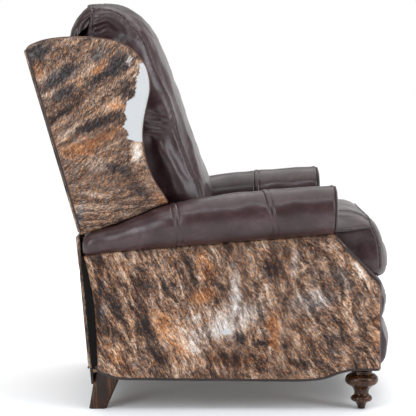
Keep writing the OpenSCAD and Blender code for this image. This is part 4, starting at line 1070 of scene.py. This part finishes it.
pad_soft = 1.2*ripples(wing_face, 80, 42)*np.clip(wing_edge/30, 0, 1)
pad_puff = 2*np.sin(np.pi*np.clip(wing_edge/160, 0, 0.5)) + pad_soft
wing_inner = slab(wing_face, 318.0, 274 - pad_puff + rolled(wing_edge, 20))
add_both("wing_pad_leather", wing_inner, "back", LEATHER, "wing_pad")

rim_line = np.vstack([wing_top_line, wing_front_line[1:]])
rim_xz = flowing(rim_line, np.linspace(0, 1, 200))
rim_cord = rope(at_side(rim_xz, 325.5), 2.3)
add("wing_piping", [rim_cord, mirrored(rim_cord)], "back", RUST)
print("wing rises to", round(float(rim_xz[:, 1].max())), "mm")

# %% [markdown]
# A cushion is sewn from panels and filled until it is round. Its plain form here comes from two
# outlines, one for the middle and one for the sides, that blend as a power of the distance
# across. Cloth simulation with air pressure then swells it, as the filling does, and the seams
# are pressed in afterwards because remeshing would lose them.

# %% Cushion forms
def softened(corners, radii, bend_steps=7, run_steps=9):
    """Outlines with rounded corners: at each corner a quadratic curve from the place where an arc
    of that radius would leave one side to the place where it would meet the other."""
    before = np.roll(corners, 1, 1) - corners
    after = np.roll(corners, -1, 1) - corners
    la = np.linalg.norm(before, axis=-1, keepdims=True)
    lb = np.linalg.norm(after, axis=-1, keepdims=True)
    half = np.arccos(np.clip((before*after).sum(-1, keepdims=True)/(la*lb), -1, 1))/2
    reach = np.minimum(np.asarray(radii, float)[None, :, None]/np.tan(half), 0.48*np.minimum(la, lb))
    start = corners + before/la*reach
    end = corners + after/lb*reach
    t = np.linspace(0, 1, bend_steps)[None, None, :, None]
    turn = (1 - t)**2*start[:, :, None] + 2*t*(1 - t)*corners[:, :, None] + t**2*end[:, :, None]
    s = np.linspace(0, 1, run_steps + 2)[1:-1][None, None, :, None]
    onward = (1 - s)*end[:, :, None] + s*np.roll(start, -1, 1)[:, :, None]
    return np.concatenate([turn, onward], 2).reshape(len(corners), -1, 2)


def cushion_form(mid, side, radii, half, draw_in, tuck, power=3, rows=81):
    """Closed form between outlines of (x, z). The share of the side outline is a power of the
    distance across, the last rows are tucked in to a round edge, and the sides bow in."""
    s = np.linspace(-1, 1, rows)
    y = np.sin(s*np.pi/2)*0.35 + s*0.65
    k = np.abs(y[:, None, None])**power
    outline = softened((1 - k)*np.asarray(mid, float) + k*np.asarray(side, float), radii)
    centre = outline.mean(1, keepdims=True)
    edge_gap = half*(1 - np.abs(y))
    drop = rolled(edge_gap, tuck)[:, None, None]
    away = outline - centre
    outline = outline - away*np.minimum(1, drop/np.maximum(np.linalg.norm(away, axis=-1, keepdims=True), 1))
    span = (outline[..., 0] - outline[..., 0].min())/np.ptp(outline[..., 0])
    bow = draw_in*np.abs(y[:, None])**8*np.sin(np.pi*span)
    rings = np.stack([outline[..., 0], y[:, None]*(half - bow), outline[..., 1]], -1)
    ends = [[middle[0, 0], side_y, middle[0, 1]]
            for middle, side_y in ((centre[0], -half + draw_in), (centre[-1], half - draw_in))]
    return skin(rings, ends)


# %% [markdown]
# The form is remeshed into even cells, so that the cloth stretches alike everywhere, and swelled
# by pressure with its held points fixed. Sculpting could round it too, but the cloth bulges
# between its held places by itself, as filled leather does.

# %% Swell a cushion with cloth simulation
SIM_FRAMES = 20
EVEN_ROUNDS = 12


def taken(piece):
    """Copy of a piece's mesh with its modifiers applied."""
    graph = bpy.context.evaluated_depsgraph_get()
    return bpy.data.meshes.new_from_object(piece.evaluated_get(graph))


def points_of(mesh):
    """Points of a mesh, in metres."""
    flat = np.empty(len(mesh.vertices)*3)
    mesh.vertices.foreach_get("co", flat)
    return flat.reshape(-1, 3)


def relaxed(mesh, move, rounds):
    """Moves of a mesh's points after rounds of averaging each with the mean of its neighbours."""
    ends = np.empty(len(mesh.edges)*2, dtype=np.int32)
    mesh.edges.foreach_get("vertices", ends)
    near, far = np.concatenate([ends.reshape(-1, 2), ends.reshape(-1, 2)[:, ::-1]]).T
    degree = np.bincount(near, minlength=len(move))[:, None]
    for _ in range(rounds):
        total = np.stack([np.bincount(near, axis[far], len(move)) for axis in move.T], -1)
        move = (move + total/degree)/2
    return move


def swell(name, form, voxel, pressure, cap, pinned):
    """Piece from a form, remeshed and run as cloth under pressure, each point moved at most
    cap. pinned(points) says which points are held. The moves are evened out, because the
    cloth's grid leaves straight streaks in them."""
    piece = bpy.data.objects.new(name, make_mesh(name, [form]))
    scene.collection.objects.link(piece)
    even = piece.modifiers.new("even", "REMESH")
    even.mode = "VOXEL"
    even.voxel_size = voxel*MM
    piece.data = taken(piece)
    piece.modifiers.clear()
    start = points_of(piece.data)
    held = piece.vertex_groups.new(name="held")
    held.add([int(i) for i in np.flatnonzero(pinned(start/MM))], 1.0, "REPLACE")
    cloth = piece.modifiers.new("cloth", "CLOTH")
    cloth.settings.quality = 3
    cloth.settings.use_pressure = True
    cloth.settings.uniform_pressure_force = pressure
    cloth.settings.effector_weights.gravity = 0
    cloth.settings.vertex_group_mass = "held"
    cloth.settings.bending_stiffness = 0.8
    cloth.point_cache.frame_start = 1
    cloth.point_cache.frame_end = SIM_FRAMES
    for step in range(1, SIM_FRAMES + 1):
        scene.frame_set(step)
    mesh = taken(piece)
    move = relaxed(mesh, points_of(mesh) - start, EVEN_ROUNDS)
    length = np.linalg.norm(move, axis=1, keepdims=True)
    piece.modifiers.clear()
    piece.vertex_groups.clear()
    move = move*np.minimum(1, cap*MM/np.maximum(length, 1e-9))
    mesh.vertices.foreach_set("co", (start + move).ravel())
    piece.data = mesh
    scene.frame_set(1)
    print(name, "swelled by up to", round(float(length.max()/MM), 1), "mm")
    fine = piece.modifiers.new("fine", "SUBSURF")
    fine.levels = fine.render_levels = 1
    piece.data = taken(piece)
    piece.modifiers.clear()
    piece.data.name = name
    piece.data.shade_smooth()
    return piece


print("cloth:", SIM_FRAMES, "frames, evened out in", EVEN_ROUNDS, "rounds")

# %% [markdown]
# Seams are worked into the swelled skin along paths. A path is dropped onto the skin, the skin is
# pressed in along it, and stitches are sewn beside it. Distances from a path are taken for a few
# thousand points at a time, because all of them at once would fill the memory.

# %% Seams and stitches on a cushion
def near_path(points, path, reach):
    """Distance of each point from a path of closely spaced points, or reach where it is further."""
    away = np.full(len(points), float(reach))
    low, high = path.min(0) - reach, path.max(0) + reach
    close = np.flatnonzero(((points > low) & (points < high)).all(1))
    for block in np.array_split(close, max(1, len(close)//4000)):
        if len(block):
            gaps = np.linalg.norm(points[block, None] - path[None], axis=-1).min(1)
            away[block] = np.minimum(reach, gaps)
    return away


def normals_of(mesh):
    """Unit normal at each point of a mesh."""
    flat = np.empty(len(mesh.vertices)*3, dtype=np.float32)
    mesh.vertex_normals.foreach_get("vector", flat)
    return flat.reshape(-1, 3).astype(float)


def press(piece, heights):
    """Moves each point along its normal by heights, in millimetres."""
    mesh = piece.data
    moved = points_of(mesh) + normals_of(mesh)*np.asarray(heights)[:, None]*MM
    mesh.vertices.foreach_set("co", moved.ravel())
    mesh.update()


def laid_on(piece, path, stand=0.0):
    """A path in millimetres dropped onto the nearest places of a piece, standing off by stand."""
    mesh = piece.data
    tree = BVHTree.FromPolygons([tuple(p) for p in points_of(mesh)],
                                [tuple(f.vertices) for f in mesh.polygons])
    hits = [tree.find_nearest(Vector(p*MM)) for p in path]
    return np.array([np.array(h[0]) + np.array(h[1])*stand*MM for h in hits])/MM


def evened(path, count):
    """The path through count evenly spaced points, smoothed a little."""
    path = np.asarray(path, float)
    weight = np.array([1, 4, 6, 4, 1])/16
    pad = np.vstack([path[:1]]*2 + [path] + [path[-1:]]*2)
    soft = np.stack([np.convolve(axis, weight, "valid") for axis in pad.T], -1)
    soft[[0, -1]] = path[[0, -1]]
    return bent(soft, np.linspace(0, 1, count))


def from_seam(piece, path, reach):
    """Signed distance of each point of a piece from a path laid on it, and the place along the
    path, both in millimetres. Points further than reach get reach, and past an end the distance
    is the whole gap, not only the part across."""
    points, normals = points_of(piece.data)/MM, normals_of(piece.data)
    along = np.gradient(path, axis=0)
    place = chords(path)[1]
    away, at = np.full(len(points), float(reach)), np.zeros(len(points))
    inside = (points > path.min(0) - reach) & (points < path.max(0) + reach)
    close = np.flatnonzero(inside.all(1))
    for block in np.array_split(close, max(1, len(close)//3000)):
        if not len(block):
            continue
        gaps = points[block, None] - path[None]
        length = np.linalg.norm(gaps, axis=-1)
        nearest = length.argmin(1)
        gap, length = gaps[np.arange(len(block)), nearest], length.min(1)
        side = np.cross(along[nearest], normals[block])
        across = (side*gap).sum(-1)/np.maximum(np.linalg.norm(side, axis=-1), 1e-9)
        past_end = length**2 - across**2 > 4**2
        across = np.where(past_end, np.copysign(length, across), across)
        away[block] = np.where(length < reach, across, reach)
        at[block] = place[nearest]
    return away, at


def sewn_down(piece, paths, reach=40):
    """Presses seams into a piece, each a sum of bells of the distance: a narrow valley in a wide
    one, a rise of folded leather 7 mm to both sides, and the puckers that the thread draws. Keeps
    the distance from the nearest seam as "seam"."""
    nearest = np.full(len(piece.data.vertices), float(reach))
    height = np.zeros(len(nearest))
    for path in paths:
        away, at = from_seam(piece, path, reach)
        height -= 2.6*np.exp(-(away/4.5)**2) + 1.6*np.exp(-(away/15)**2)
        height += 1.1*np.exp(-((np.abs(away) - 7)/3.5)**2)
        height += 0.3*np.sin(at*2*math.pi/17 + 3*np.sin(at/41))*np.exp(-((np.abs(away) - 9)/7)**2)
        nearest = np.where(np.abs(away) < np.abs(nearest), away, nearest)
    layer = piece.data.attributes.new("seam", "FLOAT", "POINT")
    layer.data.foreach_set("value", nearest.astype(np.float32))
    press(piece, height)


def stitches(path, up, pitch=7.0, length=4.6, radius=0.55):
    """Small six-sided threads along a path, standing a little proud of it along up."""
    places = chords(path)[1]
    at = np.arange(pitch/2, places[-1], pitch)
    middle = np.stack([np.interp(at, places, axis) for axis in path.T], -1)
    ahead = np.stack([np.interp(at + 1, places, axis) for axis in path.T], -1) - middle
    ahead /= np.linalg.norm(ahead, axis=-1, keepdims=True)
    lift = np.stack([np.interp(at, places, axis) for axis in np.asarray(up, float).T], -1)
    lift /= np.linalg.norm(lift, axis=-1, keepdims=True)
    beside = np.cross(ahead, lift)
    turn = np.linspace(0, 2*math.pi, 6, endpoint=False)
    threads = []
    for m, a, u, b in zip(middle, ahead, lift, beside):
        rings = [m + a*step*length + (np.cos(turn)[:, None]*b + np.sin(turn)[:, None]*u)*radius*wide
                 for step, wide in ((-0.5, 0.45), (-0.32, 1), (0.32, 1), (0.5, 0.45))]
        threads.append(skin(np.stack(rings), [m - a*0.52*length, m + a*0.52*length]))
    return threads


def finish_cushion(piece, body, finish, covers):
    """Gives a swelled piece its finish and its body, and hides the CAD nodes that it stands for."""
    piece.data.materials.clear()
    piece.data.materials.append(finish)
    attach(piece, body)
    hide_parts(*covers)


trial = np.array([[0, 0, 0], [50, 0, 0]])
print("stitches in 50 mm:", len(stitches(trial, [[0, 0, 1], [0, 0, 1]])))

# %% [markdown]
# The seat cushion is boxed: a top panel in three parts, joined by two topstitched seams that run
# front to back and bend out to the front corners, and a deep front that rolls over the edge. A
# piped seam closes the top to the sides.

# %% Seat cushion
SEAT_TOP, SEAT_BASE, SEAT_REAR = 514, 352.3, -18
seat_mid = [[SEAT_REAR, SEAT_BASE], [428, SEAT_BASE], [438, 334], [455, 330], [469, 339], [475, 357],
            [475, 384], [472, 407], [467, 433], [459, 457], [449, 477], [435, 492], [420, 502],
            [406, 507], [383, 509], [340, 505], [SEAT_REAR, 494]]
seat_side = [[SEAT_REAR, SEAT_BASE], [418, SEAT_BASE], [426, 358], [436, 361], [443, 368], [446, 380],
             [447, 396], [446, 412], [444, 433], [440, 455], [434, 468], [427, 475], [418, 478],
             [406, 477], [383, 474], [340, 468], [SEAT_REAR, 461]]
seat_form = cushion_form(seat_mid, seat_side, [8, 4] + [14]*3 + [40]*11 + [14], 256, 5, 8, power=6)


def seat_seam(w):
    """Topstitched seam: front to back at distance w, then out to the corner."""
    x = np.linspace(6, 428, 160)
    out = np.sign(w)*(abs(w) + 70*np.clip((x - 318)/110, 0, 1)**1.8)
    return np.stack([x, out, np.full(160, SEAT_TOP)], -1)


def seat_held(p):
    """Held: what rests on the deck, and the rear, which leans on the back."""
    return (p[:, 2] < 358) | (p[:, 0] < -8)


def outline_seam(line, w, count):
    """Path on one side of a cushion, at distance w, through places (x, z)."""
    path = flowing(line, np.linspace(0, 1, count))
    return np.insert(path, 1, w, axis=1)


seat = swell("seat_cushion_leather", seat_form, 7, 4.0, 7, seat_held)
press(seat, 0.5*ripples(points_of(seat.data)/MM, 90, 51))
seat_seams = [evened(laid_on(seat, seat_seam(w)), 220) for w in (-148, 148)]
corner_line = [[434, 474], [441, 455], [446, 430], [448, 400], [445, 372]]
seat_seams += [evened(laid_on(seat, outline_seam(corner_line, w, 60)), 80) for w in (-250, 250)]
sewn_down(seat, seat_seams)
finish_cushion(seat, "seat", SEWN_LEATHER, ["seat_cushion"])
welt_side = outline_seam([[-10, 462], [120, 463], [250, 465], [328, 466], [361, 468], [407, 475]], -255, 120)
welt_turn = [[419, -251, 480], [426, -244, 487], [428, -234, 493], [427, -220, 498], [424, -200, 502]]
welt_over = [[421, -150, 505], [419, -80, 507], [418, 0, 508], [419, 80, 507], [421, 150, 505]]
turn_far = [[x, -y, z] for x, y, z in welt_turn[::-1]]
front = flowing(np.array(welt_turn + welt_over + turn_far, float), np.linspace(0, 1, 200))
seat_path = evened(laid_on(seat, np.vstack([welt_side, front, welt_side[::-1]*[1, -1, 1]]), 0.2), 400)
add("seat_piping", [rope(seat_path, 2.2, up=(0.02, 0.01, 1))], "seat", WELT)
thread_paths = [path + [0, side, 0.2] for path in seat_seams[:2] for side in (-5, 5)]
upward = np.tile([0.0, 0, 1], (len(thread_paths[0]), 1))
threads = [one for path in thread_paths for one in stitches(laid_on(seat, path, 0.15), upward)]
add("seat_stitches", threads, "seat", THREAD)
print("seat stitches:", len(threads))

# %% [markdown]
# The back cushion is tall and deep, with a gathered head roll that folds over the top rail. Its
# side panels meet the front in a seam that runs from the seat up and over the head. Beside the
# wing the side is pinched into short folds, and a soft ridge runs from there down to the arm.

# %% Back cushion
FACE_X, BACK_REAR, BACK_LOW, BACK_HALF = -21, 50.3, 402.3, 247
HEAD_SEAM_X, HEAD_LOW = -318, 930
back_rear = [on_back(476, BACK_REAR), on_back(-72, BACK_REAR)]
back_mid = [[FACE_X, BACK_LOW], [FACE_X, 512], [1, 521], [-18, 586], [-38, 636], [-60, 698], [-82, 762],
            [-103, 826], [-126, 887], [-146, 940], [-161, 978], [-183, 1014], [-209, 1041],
            [-240, 1059], [-270, 1066], [-310, 1064], [-342, 1060], [-346, 1052], [-332, 1034],
            [-325, 1002], [-334, 970], [-395, 952]] + back_rear
back_side = [[FACE_X - 2, BACK_LOW], [FACE_X - 2, 512], [-22, 521], [-36, 584], [-56, 632], [-79, 692],
             [-100, 756], [-122, 819], [-145, 879], [-166, 930], [-180, 964], [-200, 995], [-223, 1019],
             [-250, 1038], [-277, 1048], [-300, 1049], [-316, 1046], [-320, 1038], [-321, 1026],
             [-323, 1000], [-334, 970], [-395, 952]] + back_rear
back_radii = [5, 3, 20] + [60]*12 + [14, 8, 10, 20, 30, 20, 6, 6, 6]
back_form = cushion_form(back_mid, back_side, back_radii, BACK_HALF, 3, 16)


def back_held(p):
    """Held: the rear against the webbing, and the part behind the seat."""
    on_rear = (p[:, [0, 2]] - BACK_FOOT) @ THROUGH_BACK < BACK_REAR + 8
    return on_rear | (p[:, 2] < 516)


def gathers(p):
    """Heights of the folds that fan forward from the head seam: fine waves 11 mm apart and broad
    ones 37 mm apart. They follow the outline of the head on the sides and run front to back over
    the top. Each dies out forward as exp(-distance/a length)."""
    crown = flowing(back_mid[6:17], np.linspace(0, 1, 160))
    depth = near_path(np.insert(p[:, [0, 2]], 1, 0, axis=1), np.insert(crown, 1, 0, axis=1), 150)
    s = depth - (BACK_HALF - np.abs(p[:, 1])) + 5*ripples(p, 60, 63)
    ahead = np.clip(p[:, 0] - HEAD_SEAM_X, 0, None)
    on_head = np.clip((p[:, 2] - HEAD_LOW)/60, 0, 1)
    broken = 0.55 + 0.45*ripples(p, 55, 64)
    fine = np.sin(s*2*math.pi/11)*np.exp(-ahead/62)*broken
    broad = np.sin(s*2*math.pi/37 + 1)*np.exp(-ahead/130)
    return (1.9*fine + 1.3*broad)*on_head


def soft_line(p, line, wide):
    """1 along a line of (x, z), falling off as a bell of that width."""
    path = np.insert(flowing(line, np.linspace(0, 1, 80)), 1, 0, axis=1)
    away = near_path(np.insert(p[:, [0, 2]], 1, 0, axis=1), path, 4*wide)
    return np.exp(-(away/wide)**2)


def side_folds(p):
    """Heights on the sides: the pinch beside the wing, which is a hollow with short level folds
    over it and a full pillow above, a soft ridge from there down to the arm, another along the
    head's front, and loose leather."""
    outer = np.clip((np.abs(p[:, 1]) - 170)/60, 0, 1)
    hollow = np.exp(-((p[:, 0] + 160)/18)**2 - ((p[:, 2] - 708)/26)**2)
    place = np.exp(-((p[:, 0] + 158)/30)**2 - ((p[:, 2] - 752)/26)**2)
    slope = p[:, 2] + 0.22*(p[:, 0] + 150)
    folds = np.cos((slope - 750)*2*math.pi/17)*place
    ridge_line = [[-150, 722], [-139, 708], [-126, 679], [-112, 639], [-86, 573], [-66, 530], [-60, 500]]
    ridge = soft_line(p, ridge_line, 25)
    above = soft_line(p, [[-225, 955], [-200, 905], [-176, 860], [-150, 800]], 24)
    pillow = np.exp(-((p[:, 0] + 122)/36)**2 - ((p[:, 2] - 800)/62)**2)
    loose = 2.0*ripples(p, 120, 65) + 0.4*ripples(p*[1, 1, 0.4], 34, 66)
    return outer*(11.0*ridge + 3.6*folds + 8.0*above + 10.0*pillow - 8.5*hollow + loose)


back = swell("back_cushion_leather", back_form, 7, 4.0, 8, back_held)
spots = points_of(back.data)/MM
creased = ripples(spots*[1, 1, 0.45], 42, 62)
press(back, 1.0*ripples(spots, 85, 61) + 0.4*creased + gathers(spots) + side_folds(spots))
seam_line = [[-20, 412], [-20, 500], [-4, 545], [-13, 596], [-32, 672], [-54, 742], [-81, 816], [-99, 864],
             [-121, 918], [-147, 968], [-168, 998], [-204, 1034], [-246, 1049], [-290, 1054], [-314, 1050]]
back_seams = [evened(laid_on(back, outline_seam(seam_line, w, 260)), 420) for w in (-238, 238)]
sewn_down(back, back_seams)
finish_cushion(back, "back", SEWN_LEATHER, ["back_cushion"])
up_side = [[-317, -246, 978], [-318, -246, 1000], [-318, -244, 1025], [-320, -240, 1044]]
over_top = [[-325, -228, 1054], [-333, -190, 1060], [-338, -100, 1064], [-339, 0, 1065]]
near_half = flowing(np.array(up_side + over_top, float), np.linspace(0, 1, 120))
for name, forward in (("head_seam_rear", -1.5), ("head_seam_front", 4.5)):
    half = near_half + [forward, 0, 0]
    whole = np.vstack([half, half[-2::-1]*[1, -1, 1]])
    head_cord = rope(evened(laid_on(back, whole, 0.5), 260), 1.9, up=(1, 0.01, 0.02))
    add(name, [head_cord], "back", LEATHER)
print("back seams:", [round(float(chords(path)[1][-1])) for path in back_seams], "mm long")

# %% [markdown]
# Behind the head a sheet of leather runs down to the top rail like the back of a hood, so that
# the back's frame stays covered when the cushion is pressed forward. It is gathered along its
# top, its sides turn forward, and its upper corners hang a little lower. It is modelled from
# its outline in the middle and from the place of its turned edge, with the pleats as waves
# across it.

# %% Leather between the head and the top rail
FLAP_HALF, FLAP_TURN = 206, 16
flap_mid = flowing([on_back(487, 6), on_back(492, 40), [-394, 976], [-386, 997], [-374, 1022], [-357, 1043],
                    [-337, 1062]], np.linspace(0, 1, 90))
flap_x, flap_z = flap_mid[:, :1], flap_mid[:, 1:]
flap_reach = np.interp(flap_z[:, 0], [940, 962, 976, 994, 1010, 1030, 1047, 1064],
                       [0, 6, 31, 42, 53, 54, 43, 27])[:, None]
total = FLAP_HALF - FLAP_TURN + FLAP_TURN*math.pi/2 + flap_reach
q = np.linspace(-1, 1, 181)*total
bend = np.clip((np.abs(q) - FLAP_HALF + FLAP_TURN)/FLAP_TURN, 0, math.pi/2)
flap_w = np.sign(q)*(np.minimum(np.abs(q), FLAP_HALF - FLAP_TURN) + FLAP_TURN*np.sin(bend))
forward = FLAP_TURN*(1 - np.cos(bend)) + np.clip(np.abs(q) - FLAP_HALF + FLAP_TURN*(1 - math.pi/2), 0, None)
crown = 19*np.clip(np.abs(flap_w)/200, 0, 1)**1.5*np.clip((flap_z - 945)/30, 0, 1)
forward = np.minimum(forward + crown, np.maximum(flap_reach, crown))
rise = np.clip((flap_z - 958)/30, 0, 1)*np.clip((1066 - flap_z)/14, 0, 1)
where = np.dstack([forward, q, np.broadcast_to(flap_z, q.shape)])
pleats = 1.9*rise*np.sin(q*2*math.pi/13 + 2.2*ripples(where, 70, 81))*(0.6 + 0.4*ripples(where, 50, 82))
droop = 9*np.clip(np.abs(flap_w)/FLAP_HALF, 0, 1)**4*np.clip((flap_z - 1000)/60, 0, 1)


def flap_skin(depth):
    """Points of the flap's skin at a depth below its outer face."""
    out = pleats - depth
    x = flap_x + forward*0.98 - out*0.87*np.cos(bend)
    z = flap_z - forward*0.1 + out*0.49*np.cos(bend) - droop
    return np.dstack([x, flap_w + np.sign(q)*out*np.sin(bend), z])


add("head_flap_leather", [sheet(flap_skin(0.0), flap_skin(1.8))], "back", LEATHER, ["head_flap"])
add("head_flap_lining", [sheet(flap_skin(1.8), flap_skin(3.4))], "back", SUEDE)
print("head flap: up to", round(float(2*total.max())), "mm wide before it is turned")

# %% [markdown]
# Two boards would show bare wood between their cushions: the top rail and the footrest's board.
# They are wrapped in leather before the padding goes on. A wrapped board is the board again, a
# little larger and with softened corners, so the leg's planed bar serves for it.

# %% Leather round the top rail and the footrest's board
WRAP, WRAP_CORNER = 1.2, 2
RAIL_U, RAIL_V, RAIL_HALF = (488, 448), (5.5, 47.5), 272
rail_ends = np.array(RAIL_U) + [WRAP, -WRAP]
rail_wrap = planed(on_back(rail_ends, RAIL_V[0] - WRAP/2), on_back(rail_ends, RAIL_V[1] + WRAP),
                   -RAIL_HALF, RAIL_HALF, WRAP_CORNER)
add("top_rail_leather", [rail_wrap], "back", LEATHER)
board = points_of(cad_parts["footrest_board"].data)/MM
low, high = board.min(0) - WRAP, board.max(0) + WRAP
face_x = high[0] - 0.8*WRAP
board_rear, board_front = (np.array([[x, high[2]], [x, low[2]]]) for x in (low[0], face_x))
board_wrap = planed(board_rear, board_front, low[1], high[1], WRAP_CORNER)
add("footrest_board_leather", [board_wrap], "footrest", LEATHER)
print("wrapped board:", np.round(high - low), "mm")

# %% [markdown]
# The footrest is a board with two padded rolls, one above the other. They hang below the seat's
# front as its lower part, and swing up and out as the back reclines.

# %% Footrest pads
def roll_form(low, high, x1):
    """Form of one roll, from low to high and from the board forward to x1."""
    x0 = 440.4
    height = high - low
    middle = [[x0, low], [x0 + 18, low], [x1 - 2, low + 0.18*height], [x1 + 1, low + 0.6*height],
              [x1 - 16, high], [x0, high]]
    sides = [[x0, low + 2], [x0 + 6, low + 2], [x1 - 22, low + 0.15*height], [x1 - 17, low + 0.5*height],
             [x1 - 34, high - 4], [x0, high - 2]]
    return cushion_form(middle, sides, [2, 20, 26, 34, 20, 2], 249, 3, 8)


def roll_held(p):
    """Held: what lies against the board."""
    return p[:, 0] < 443


upper = swell("footrest_upper_leather", roll_form(225.4, 322, 475), 6, 3.0, 6, roll_held)
lower = swell("footrest_lower_leather", roll_form(102.2, 224.6, 482), 6, 3.0, 6, roll_held)
for piece, nodes in ((upper, ["footrest_upper_pad"]), (lower, ["footrest_lower_pad"])):
    press(piece, 0.8*ripples(points_of(piece.data)/MM, 55, 71))
    finish_cushion(piece, "footrest", LEATHER, nodes)
print("footrest rolls:", upper.name, lower.name)

# %% [markdown]
# Under the seat, sinuous springs carry the deck. The CAD model cuts them from flat stock so that
# they stay exact; here the same zigzag is a round wire.

# %% Springs
BENDS, WIRE_D, RAIL_T = 22, 3.8, 22
wire_t = np.linspace(0, 1, BENDS*16)
wire_x0, wire_x1 = -245 + RAIL_T + WIRE_D, 402 - RAIL_T
wire_x = wire_x0 + (wire_x1 - wire_x0)*wire_t
zigzag = 24*np.clip(1.2*np.sin(np.pi*BENDS*wire_t), -0.95, 0.95)
spring_y = 2*(220 - RAIL_T)/5.4*(np.arange(5) - 2)
wires = [rope(np.stack([wire_x, y + zigzag, np.full_like(wire_t, 343.0)], -1), WIRE_D/2,
              up=(0, 0, 1), sides=8) for y in spring_y]
add("spring_wires", wires, "seat", STEEL, ["seat_springs"])
print("springs:", len(wires), "with", BENDS, "bends each")

# %% [markdown]
# The rest of the CAD model shows as it is: posts, rails and boards in beech, and the links and
# brackets in steel. Their shapes are right, so they only need a finish.

# %% Finishes of the CAD pieces
UPRIGHT = {"front_post_right", "front_post_left", "rear_post_right", "rear_post_left", "back_board_right",
           "back_board_left"}
FABRIC = {"seat_deck", "back_webbing"}
PLASTIC = {"glide_shoes"}
METAL = {"leg_bolts", "glide_rails", "hinge_brackets", "seat_springs", "seat_plates", "back_brackets",
         "drive_links", "swing_links", "torque_tube", "lift_links", "steady_links", "tie_links",
         "footrest_brackets"}
SOFT = ("pad", "cushion", "roll", "facing", "flap", "gusset", "hem")
for name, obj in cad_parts.items():
    if name in METAL:
        finish = STEEL
    elif name in PLASTIC:
        finish = NYLON
    elif name in FABRIC:
        finish = CANVAS
    elif name in UPRIGHT:
        finish = BEECH_UP
    elif "leg" in name:
        finish = WALNUT
    elif "panel" in name or name == "outside_back":
        finish = BACK_HIDE
    elif any(word in name for word in SOFT):
        finish = LEATHER
    else:
        finish = BEECH
    obj.data.materials.clear()
    obj.data.materials.append(finish)
print("CAD nodes finished:", len(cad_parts))

# %% [markdown]
# A plain pale floor catches the shadow. It is far larger than the view, so that its edge fades
# into the white surround.

# %% Floor
floor_finish, tree, at, shader = new_finish("floor")
floor_tones = [(0.3, (0.965, 0.965, 0.965)), (0.7, (0.975, 0.975, 0.975))]
tree.links.new(ramp(tree, noise(tree, at, 0.8, 2), floor_tones), shader.inputs["Base Color"])
shader.inputs["Roughness"].default_value = 0.7
shader.inputs["Specular IOR Level"].default_value = 0.2
floor_mesh = bpy.data.meshes.new("floor")
floor_mesh.from_pydata([(-30, -30, 0), (30, -30, 0), (30, 30, 0), (-30, 30, 0)], [], [(0, 1, 2, 3)])
floor = bpy.data.objects.new("floor", floor_mesh)
floor.data.materials.append(floor_finish)
scene.collection.objects.link(floor)
print("finishes in all:", len(bpy.data.materials))
